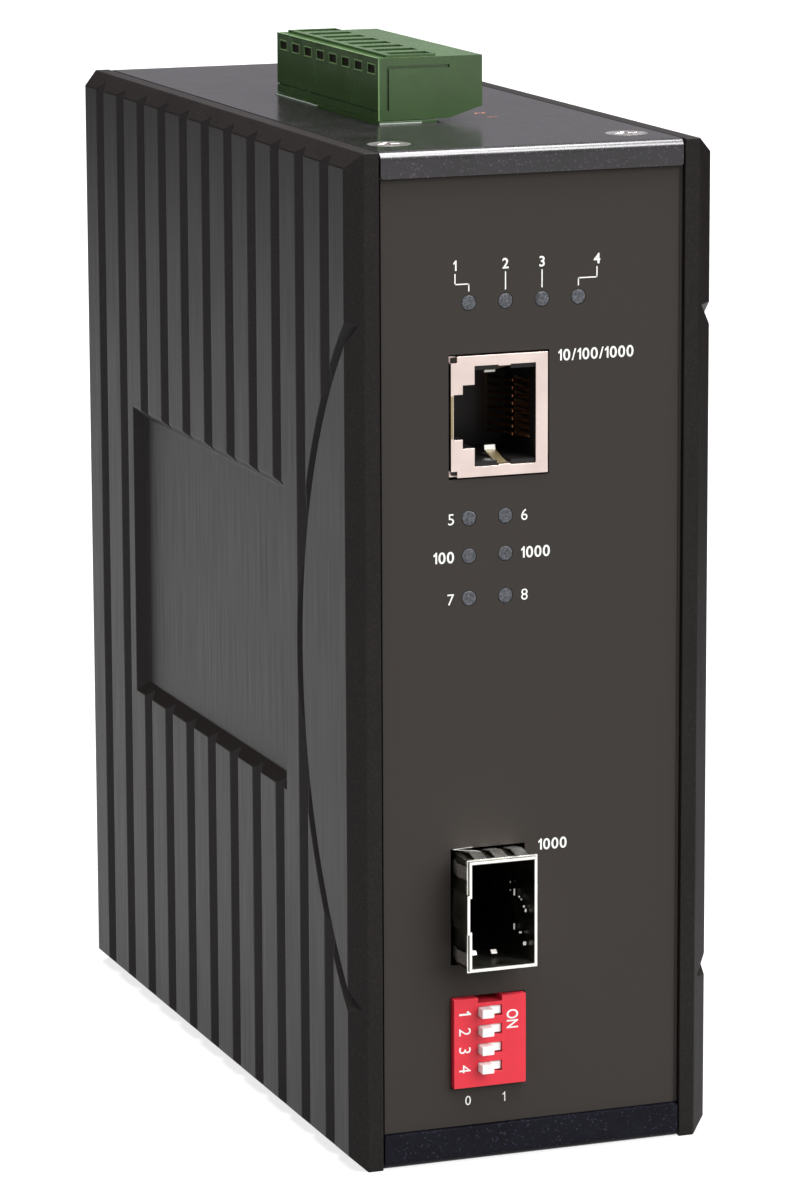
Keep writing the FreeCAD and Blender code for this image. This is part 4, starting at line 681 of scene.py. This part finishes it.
class CONVERTER_OT_printing(bpy.types.Operator):
    """White figures and leader lines on the film, orange figures on the top plate"""
    bl_idname = "converter.printing"
    bl_label = "Printing"

    def execute(self, context):
        look = settings(context, "printing")
        ink = moulded("white_ink", look.ink, roughness=0.5, grain=0.1 * MM, relief=0.001 * MM,
                      mottle=0.02, specular=0.2)
        orange = moulded("orange_ink", look.plate_ink, roughness=0.5, grain=0.1 * MM,
                         relief=0.001 * MM, mottle=0.1, specular=0.1)
        front = FILM_LOW.y - look.ink_height
        self.status_marks(look, front, ink)
        self.port_marks(look, front, ink)
        self.pole_numbers(look, settings(context, "terminals").pitch, orange)
        return {"FINISHED"}

    def write(self, target, text, height, place, align="centre", bold=False):
        """Upright letters on the front."""
        stamp(target, text, height, place, (1, 0, 0), (0, 0, 1), align, bold)

    def status_marks(self, look, front, ink):
        """Numbers 1 to 4 with stepped or straight leader lines down to the top lights."""
        marks = bmesh.new()
        first, last = STATUS_LOW.x + LENS_HALF, STATUS_HIGH.x - LENS_HALF
        level = (STATUS_LOW.z + STATUS_HIGH.z) / 2
        words, top, bend, low = (level + rise * MM for rise in (4.9, 3.75, 2.45, 1.55))
        asides = (-1.9 * MM, 0.0, 0.0, 2.6 * MM)
        for index, aside in enumerate(asides):
            x = first + index * (last - first) / (len(asides) - 1)
            self.write(marks, str(index + 1), look.status_text, (x + aside, front, words),
                       bold=True)
            points = [(x, front, top), (x, front, low)]
            if aside:
                points = [(x + aside, front, top), (x + aside, front, bend),
                          (x, front, bend), (x, front, low)]
            for start, end in zip(points, points[1:]):
                line(marks, start, end, look.line_width, (0, -1, 0))
        as_piece("status_numbers", marks, ink)

    def port_marks(self, look, front, ink):
        """Speeds beside the two ports, figures beside the lower lights and under the switch."""
        marks = bmesh.new()
        tall = look.port_text
        self.write(marks, "10/100/1000", tall,
                   (JACK_HIGH.x + 1.5 * MM, front, JACK_HIGH.z - 0.6 * MM), "left", True)
        self.write(marks, "1000", tall,
                   (CAGE_HIGH.x + 2.4 * MM, front, CAGE_HIGH.z + 0.1 * MM), "left", True)
        left = PORT_LOW.x + LENS_HALF - 2.1 * MM
        right = PORT_HIGH.x - LENS_HALF + 2.2 * MM
        high, low = PORT_HIGH.z - LENS_HALF, PORT_LOW.z + LENS_HALF
        for level, near, far, bold in ((high, "5", "6", False),
                                       (high - 5.0 * MM, "100", "1000", True),
                                       (low, "7", "8", False)):
            self.write(marks, near, tall, (left, front, level), "right", bold)
            self.write(marks, far, tall, (right, front, level), "left", bold)
        under = SWITCH_LOW.z - 2.0 * MM
        for figure, aside in (("0", 2.3 * MM), ("1", 7.4 * MM)):
            self.write(marks, figure, look.switch_text, (SWITCH_LOW.x + aside, front, under))
        as_piece("port_numbers", marks, ink)

    def pole_numbers(self, look, pitch, orange):
        """A number for each pole on the top plate, to the right of the terminal block."""
        marks = bmesh.new()
        tall, aside = 1.5 * MM, 2.6 * MM
        first = (PLUG_LOW.y + PLUG_HIGH.y) / 2 - pitch * (POLES - 1) / 2
        for index in range(POLES):
            place = (PLUG_HIGH.x + aside, first + index * pitch, PLATE_TOP + look.ink_height)
            stamp(marks, str(index + 1), tall, place, (0, 1, 0), (-1, 0, 0))
        as_piece("pole_numbers", marks, orange)


class CONVERTER_OT_copper_port(bpy.types.Operator):
    """Jack shield, its black insert and the plated contacts"""
    bl_idname = "converter.copper_port"
    bl_label = "Copper port"

    def execute(self, context):
        look = settings(context, "ports")
        shield = moulded("jack_shield", look.shield, roughness=0.34, metallic=1.0,
                         grain=0.5 * MM, relief=0.002 * MM, mottle=0.06, patch=4 * MM)
        dress(shield, "jack_shell")
        soften(("jack_shell",), 0.05 * MM)
        insert = moulded("jack_insert", look.insert, roughness=0.4, relief=0.003 * MM,
                         specular=0.25)
        dress(insert, "jack_housing")
        contact = moulded("jack_contact", look.contact, roughness=0.22, metallic=1.0,
                          relief=0.001 * MM, mottle=0.05)
        dress(contact, "jack_contacts")
        soften(("jack_contacts",), 0.06 * MM)
        self.inside(look)
        return {"FINISHED"}

    def inside(self, look):
        """Raised ground tabs, painted copper glints on the springs, and the frame's brass edge.
        """
        low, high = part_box("jack_contacts")
        spots = bmesh.new()
        half = 0.225 * MM
        step = (high.z - low.z - 2 * half) / (SPRINGS - 1)
        # Painted glints: a small bright copper tongue on each spring where it catches the light.
        for index in range(SPRINGS):
            level = low.z + half + index * step
            tongue(spots, (high.x - 1.25 * MM, low.y + 3.35 * MM, level + 0.08 * MM),
                   (-0.42 * MM, 0.0, -0.18 * MM), (0.0, 0.0, 0.34 * MM))
        # Bright copper colour of the painted glints.
        copper_glint = moulded("painted_copper_glint", (0.95, 0.42, 0.21), roughness=0.3, metallic=0.0,
                         relief=0.001 * MM, mottle=0.1)
        as_piece("painted_contact_glints", spots, copper_glint)
        edge, tabs = bmesh.new(), bmesh.new()
        front, middle = JACK_LOW.y, (JACK_LOW.z + JACK_HIGH.z) / 2
        slab(edge, (JACK_LOW.x, front - 0.02 * MM, middle - 2.8 * MM),
             (JACK_LOW.x + 0.30 * MM, front + 0.10 * MM, middle + 2.8 * MM))
        root, side, wall = JACK_LOW.x + 7.1 * MM, (1.5 * MM, 0.0, 0.0), 1.6 * MM
        for start, rise, tip in ((JACK_LOW.z + wall, 1.1 * MM, 0.6 * MM),
                                 (JACK_HIGH.z - wall, -1.1 * MM, -0.3 * MM)):
            tongue(edge, (root, front + 0.3 * MM, start), (0.0, 4.1 * MM, rise), side)
            tongue(tabs, (root, front + 4.35 * MM, start + rise), (0.0, 0.15 * MM, tip), side)
        brass = moulded("dull_brass", (0.25, 0.20, 0.10), roughness=0.35, metallic=0.4,
                        relief=0.001 * MM, mottle=0.1)
        as_piece("jack_brass", edge, brass)
        bright = moulded("tab_ends", look.steel, roughness=0.3, metallic=0.3, mottle=0.05)
        as_piece("jack_tab_ends", tabs, bright)


class CONVERTER_OT_fibre_port(bpy.types.Operator):
    """Optical module cage, its spring fingers and the socket inside"""
    bl_idname = "converter.fibre_port"
    bl_label = "Fibre port"

    def execute(self, context):
        look = settings(context, "ports")
        sheet = sheared_steel("cage_sheet", look.cage, look.steel,
                              Vector((CAGE_CENTRE - CAGE_HALF, CAGE_LOW.y, CAGE_LOW.z)),
                              CAGE_HIGH, width=0.34 * MM)
        dress(sheet, "fibre_cage")
        steel = moulded("finger_steel", look.steel, roughness=0.25, metallic=1.0,
                        grain=0.4 * MM, relief=0.002 * MM, mottle=0.2, patch=1.5 * MM)
        dress(steel, "cage_fingers")
        soften(("fibre_cage",), 0.08 * MM)
        soften(("cage_fingers",), 0.05 * MM)
        insert = moulded("socket_plastic", look.insert, roughness=0.45, relief=0.003 * MM)
        dress(insert, "card_socket")
        # Bright steel colour of the painted glints and of the corner spring's lines.
        bright = moulded("painted_cage_glint", look.steel, roughness=0.3, metallic=0.2, mottle=0.05)
        self.tabs(bright)
        return {"FINISHED"}

    def tabs(self, steel):
        """Painted glints on the right wall and floor inside, and a folded corner spring outside,
        drawn as two bright lines.
        """
        marks = bmesh.new()
        wall, front = CAGE_HIGH.x - 0.62 * MM, CAGE_LOW.y
        # Painted glints: small bright tongues facing the front on the right wall inside.
        for depth, level, wide, tall in ((7.8, 2.1, 0.12, 0.25), (7.8, 1.0, 0.12, 0.25),
                                         (6.3, 1.1, 0.18, 0.90), (4.5, 0.9, 0.20, 0.25),
                                         (3.8, 0.7, 0.16, 0.22), (2.8, 0.0, 0.24, 0.30),
                                         (2.2, -0.4, 0.22, 0.45), (6.3, -3.6, 0.18, 0.80),
                                         (3.9, -3.8, 0.35, 0.25), (2.3, -4.9, 0.40, 0.50)):
            tongue(marks, (wall, front + depth * MM, CAGE_MIDDLE + level * MM),
                   (-wide * MM, 0.1 * MM, 0.0), (0.0, 0.0, tall * MM))
        # Painted glints on the floor inside.
        for depth, aside, level in ((2.4, -3.7, 1.9), (5.0, 0.2, 1.05)):
            root = (CAGE_CENTRE + aside * MM, front + depth * MM, CAGE_LOW.z + level * MM)
            tongue(marks, root, (0.8 * MM, 0.0, 0.0), (0.0, 0.5 * MM, 0.45 * MM))
        corner = Vector((CAGE_CENTRE - 5.2 * MM, FILM_LOW.y - 0.5 * MM, CAGE_HIGH.z + 0.62 * MM))
        for reach, back in ((2.9, 0.3), (3.0, -1.9)):
            end = corner + Vector((reach * MM, back * MM, 0.0))
            line(marks, corner, end, 0.20 * MM, (0, 0, 1))
        as_piece("cage_glints_and_spring", marks, steel)


class CONVERTER_OT_slide_switch(bpy.types.Operator):
    """Red switch body with its printed figures, and four white sliders"""
    bl_idname = "converter.slide_switch"
    bl_label = "Slide switch"

    def execute(self, context):
        look = settings(context, "switch")
        red = moulded("switch_red", look.red, roughness=0.32, grain=0.3 * MM, relief=0.002 * MM,
                      mottle=0.05, patch=3 * MM, specular=0.35)
        dress(red, "switch_body")
        soften(("switch_body",), 0.10 * MM)
        white = moulded("slider_white", look.white, roughness=0.35, grain=0.2 * MM,
                        relief=0.002 * MM, mottle=0.02, specular=0.4)
        sliders = [f"switch_slider_{index + 1}" for index in range(SLIDERS)]
        dress(white, *sliders)
        soften(sliders, 0.12 * MM)
        self.figures(context)
        return {"FINISHED"}

    def figures(self, context):
        """Figures 1 to 4 at the left of the rows and ON at the upper right, read downward.

        They share the ink that the printing operator made before.
        """
        look = settings(context, "printing")
        ink = bpy.data.materials["white_ink"]
        marks = bmesh.new()
        front = SWITCH_LOW.y - look.ink_height
        for index in range(SLIDERS):
            low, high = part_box(f"switch_slider_{SLIDERS - index}")
            stamp(marks, str(index + 1), look.switch_text * 1.3,
                  (SWITCH_LOW.x + 1.55 * MM, front, (low.z + high.z) / 2), (0, 0, -1),
                  (1, 0, 0), bold=index == 0)
        narrowed = 0.74
        stamp(marks, "ON", look.switch_text * 1.25,
              (SWITCH_LOW.x + 8.3 * MM, front, SWITCH_HIGH.z - 3.3 * MM), (0, 0, -narrowed),
              (1, 0, 0), bold=True)
        as_piece("switch_figures", marks, ink)


class CONVERTER_OT_lights(bpy.types.Operator):
    """Milky lenses of the ten indicator lights and their dark holders"""
    bl_idname = "converter.lights"
    bl_label = "Indicator lights"

    def execute(self, context):
        look = settings(context, "ports")
        dress(speckled_lens("light_lens", look.lens), "status_lights", "port_lights")
        soften(("status_lights", "port_lights"), 0.15 * MM)
        dress(moulded("holder_plastic", look.insert, roughness=0.5), "light_holders")
        return {"FINISHED"}


class CONVERTER_OT_terminal_block(bpy.types.Operator):
    """Green plug and header, tinned contacts, clamps and slotted screws"""
    bl_idname = "converter.terminal_block"
    bl_label = "Terminal block"

    def execute(self, context):
        look = settings(context, "terminals")
        green = moulded("terminal_green", look.green, roughness=0.26, grain=0.5 * MM,
                        relief=0.004 * MM, mottle=0.10, patch=5 * MM, specular=0.5)
        shader = green.node_tree.nodes["Principled BSDF"]
        shader.inputs["Sheen Weight"].default_value = 0.6
        shader.inputs["Sheen Roughness"].default_value = 0.14
        shader.inputs["Sheen Tint"].default_value = (0.75, 1.0, 0.75, 1.0)
        dress(green, "terminal_plug", "terminal_header")
        self.plate_edge_glint()
        self.windows(look)
        soften(("terminal_plug",), 0.16 * MM)
        soften(("terminal_header",), 0.10 * MM)
        screw = moulded("clamp_steel", look.screw, roughness=0.28, metallic=1.0, mottle=0.1,
                        patch=1 * MM, relief=0.002 * MM)
        dress(screw, *[f"clamp_screw_{index + 1}" for index in range(POLES)])
        tin = moulded("tin_plate", look.tin, roughness=0.35, metallic=1.0, mottle=0.08,
                      patch=1 * MM, relief=0.002 * MM)
        clamps = [f"wire_clamp_{index + 1}" for index in range(POLES)]
        dress(tin, "plug_contacts", "header_pins", *clamps)
        return {"FINISHED"}

    def plate_edge_glint(self):
        """Painted highlight: pale green strips along the top plate's opening, left of the header
        and before it, for the glint of its edge and the green that it reflects.
        """
        glint_strips = bmesh.new()
        side, rear, foot = PLUG_LOW.x, HEADER_HIGH.y, PLATE_TOP + 0.02 * MM
        tall, out, gap = 0.13 * MM, 0.10 * MM, 0.03 * MM
        # Painted highlight strips, standing just off the plate, left of the plug and before the
        # header.
        slab(glint_strips, (side - out, rear - 17 * MM, foot), (side - gap, rear, foot + tall))
        slab(glint_strips, (side, HEADER_LOW.y - out, foot),
             (side + 6.0 * MM, HEADER_LOW.y - gap, foot + tall))
        # Pale green colour of the painted highlight.
        sheared = moulded("painted_edge_glint", (0.50, 0.56, 0.50), roughness=0.35, grain=0.3 * MM,
                          relief=0.003 * MM, specular=0.4)
        as_piece("plate_painted_edge_glint", glint_strips, sheared)

    def windows(self, look):
        """Painted shade in the test windows as dark sheets just inside their openings, painted
        highlights as thin pale rims around them, and painted highlights along the block's front
        and top edges.
        """
        shade_sheets, highlight_strips = bmesh.new(), bmesh.new()
        side, edge, proud = PLUG_LOW.x, 0.13 * MM, 0.03 * MM
        wide, sunk, deep = 2.8 * MM, 0.22 * MM, 1.05 * MM
        low, high = PLUG_HIGH.z - 2.50 * MM, PLUG_HIGH.z - 1.35 * MM
        first = (PLUG_LOW.y + PLUG_HIGH.y) / 2 - look.pitch * (POLES - 1) / 2
        for index in range(POLES):
            near = first + index * look.pitch - wide / 2
            far = near + wide
            # Painted shade: a dark sheet just inside each window, where the hole lies in shade.
            slab(shade_sheets, (side + sunk, near, low), (side + deep, far, high))
            # Painted highlights: thin pale frames around each window.
            for start, end in (((near - edge, low - edge), (far + edge, low)),
                               ((near - edge, high), (far + edge, high + edge)),
                               ((near - edge, low), (near, high)),
                               ((far, low), (far + edge, high))):
                slab(highlight_strips, (side - proud, *start), (side + proud, *end))
        # Painted highlights: pale strips along the block's front upright edge and its top edge.
        base, top = PLATE_TOP + 0.45 * MM, PLUG_HIGH.z - 0.35 * MM
        for start, end in (((PLUG_LOW.y, base), (PLUG_LOW.y, top)),
                           ((PLUG_LOW.y, top), (PLUG_HIGH.y, top))):
            slab(highlight_strips, (side - proud, start[0] - proud, start[1] - proud),
                 (side + edge, end[0] + edge, end[1] + proud))
        # Colour of the painted shade in the windows.
        dark = moulded("painted_window_shade", (0.012, 0.008, 0.006), roughness=0.5, grain=0.2 * MM,
                       relief=0.01 * MM, specular=0.05)
        # Colour of the painted highlights on the rims and edges.
        pale = moulded("painted_window_highlight", look.edge, roughness=0.35, grain=0.2 * MM,
                       relief=0.003 * MM, specular=0.3)
        as_piece("painted_window_shades", shade_sheets, dark, "terminal_plug")
        as_piece("painted_window_highlights", highlight_strips, pale, "terminal_plug")


class CONVERTER_OT_electronics(bpy.types.Operator):
    """Circuit board, its parts, spacers and screws"""
    bl_idname = "converter.electronics"
    bl_label = "Electronics"

    def execute(self, context):
        board = moulded("solder_mask", (0.012, 0.090, 0.030), roughness=0.35, grain=0.6 * MM,
                        relief=0.004 * MM, mottle=0.25, patch=2 * MM)
        dress(board, "circuit_board")
        brass = moulded("spacer_brass", (0.70, 0.50, 0.22), roughness=0.3, metallic=1.0,
                        mottle=0.08)
        dress(brass, "board_spacers")
        steel = moulded("board_steel", (0.60, 0.60, 0.60), roughness=0.3, metallic=1.0)
        dress(steel, "board_screws")
        epoxy = moulded("chip_epoxy", (0.010, 0.010, 0.011), roughness=0.55, grain=0.1 * MM,
                        relief=0.005 * MM)
        dress(epoxy, "main_chip", "magnetics")
        can = moulded("can_aluminium", (0.68, 0.68, 0.70), roughness=0.3, metallic=1.0)
        dress(can, "capacitors")
        ferrite = moulded("coil_ferrite", (0.020, 0.020, 0.021), roughness=0.65)
        dress(ferrite, "coil")
        case = moulded("relay_case", (0.45, 0.46, 0.44), roughness=0.4)
        dress(case, "relay")
        soften(("main_chip", "magnetics", "capacitors", "coil", "relay"), 0.2 * MM)
        return {"FINISHED"}


class CONVERTER_OT_rail_clip(bpy.types.Operator):
    """Plated rail clip, its leaf spring and screws on the back"""
    bl_idname = "converter.rail_clip"
    bl_label = "Rail clip"

    def execute(self, context):
        zinc = moulded("clip_zinc", (0.62, 0.63, 0.64), roughness=0.36, metallic=1.0,
                       grain=0.6 * MM, relief=0.003 * MM, mottle=0.12, patch=4 * MM)
        dress(zinc, "clip_plate", "clip_spring", "clip_screws")
        soften(("clip_plate",), 0.2 * MM)
        soften(("clip_spring", "clip_screws"), 0.08 * MM)
        return {"FINISHED"}


# ---------------------------------------------------------------- panel and registration

OPERATORS = (
    CONVERTER_OT_stage,
    CONVERTER_OT_housing,
    CONVERTER_OT_front_film,
    CONVERTER_OT_printing,
    CONVERTER_OT_copper_port,
    CONVERTER_OT_fibre_port,
    CONVERTER_OT_slide_switch,
    CONVERTER_OT_lights,
    CONVERTER_OT_terminal_block,
    CONVERTER_OT_electronics,
    CONVERTER_OT_rail_clip,
)


class CONVERTER_PT_parts(bpy.types.Panel):
    """Lists the makers of the converter's pieces"""
    bl_label = "Media converter"
    bl_space_type = "VIEW_3D"
    bl_region_type = "UI"
    bl_category = "Converter"

    def draw(self, context):
        for operator in OPERATORS:
            self.layout.operator(operator.bl_idname)
        for group in SETTINGS:
            box = self.layout.box()
            box.label(text=group.capitalize())
            look = settings(context, group)
            for key in look.__annotations__:
                box.prop(look, key)


CLASSES = (*SETTINGS.values(), ConverterSettings, *OPERATORS, CONVERTER_PT_parts)


def register():
    for item in CLASSES:
        bpy.utils.register_class(item)
    bpy.types.Scene.converter = PointerProperty(type=ConverterSettings)


def unregister():
    del bpy.types.Scene.converter
    for item in reversed(CLASSES):
        bpy.utils.unregister_class(item)


def main():
    register()
    for operator in OPERATORS:
        group, name = operator.bl_idname.split(".")
        getattr(getattr(bpy.ops, group), name)()


if __name__ == "__main__":
    main()
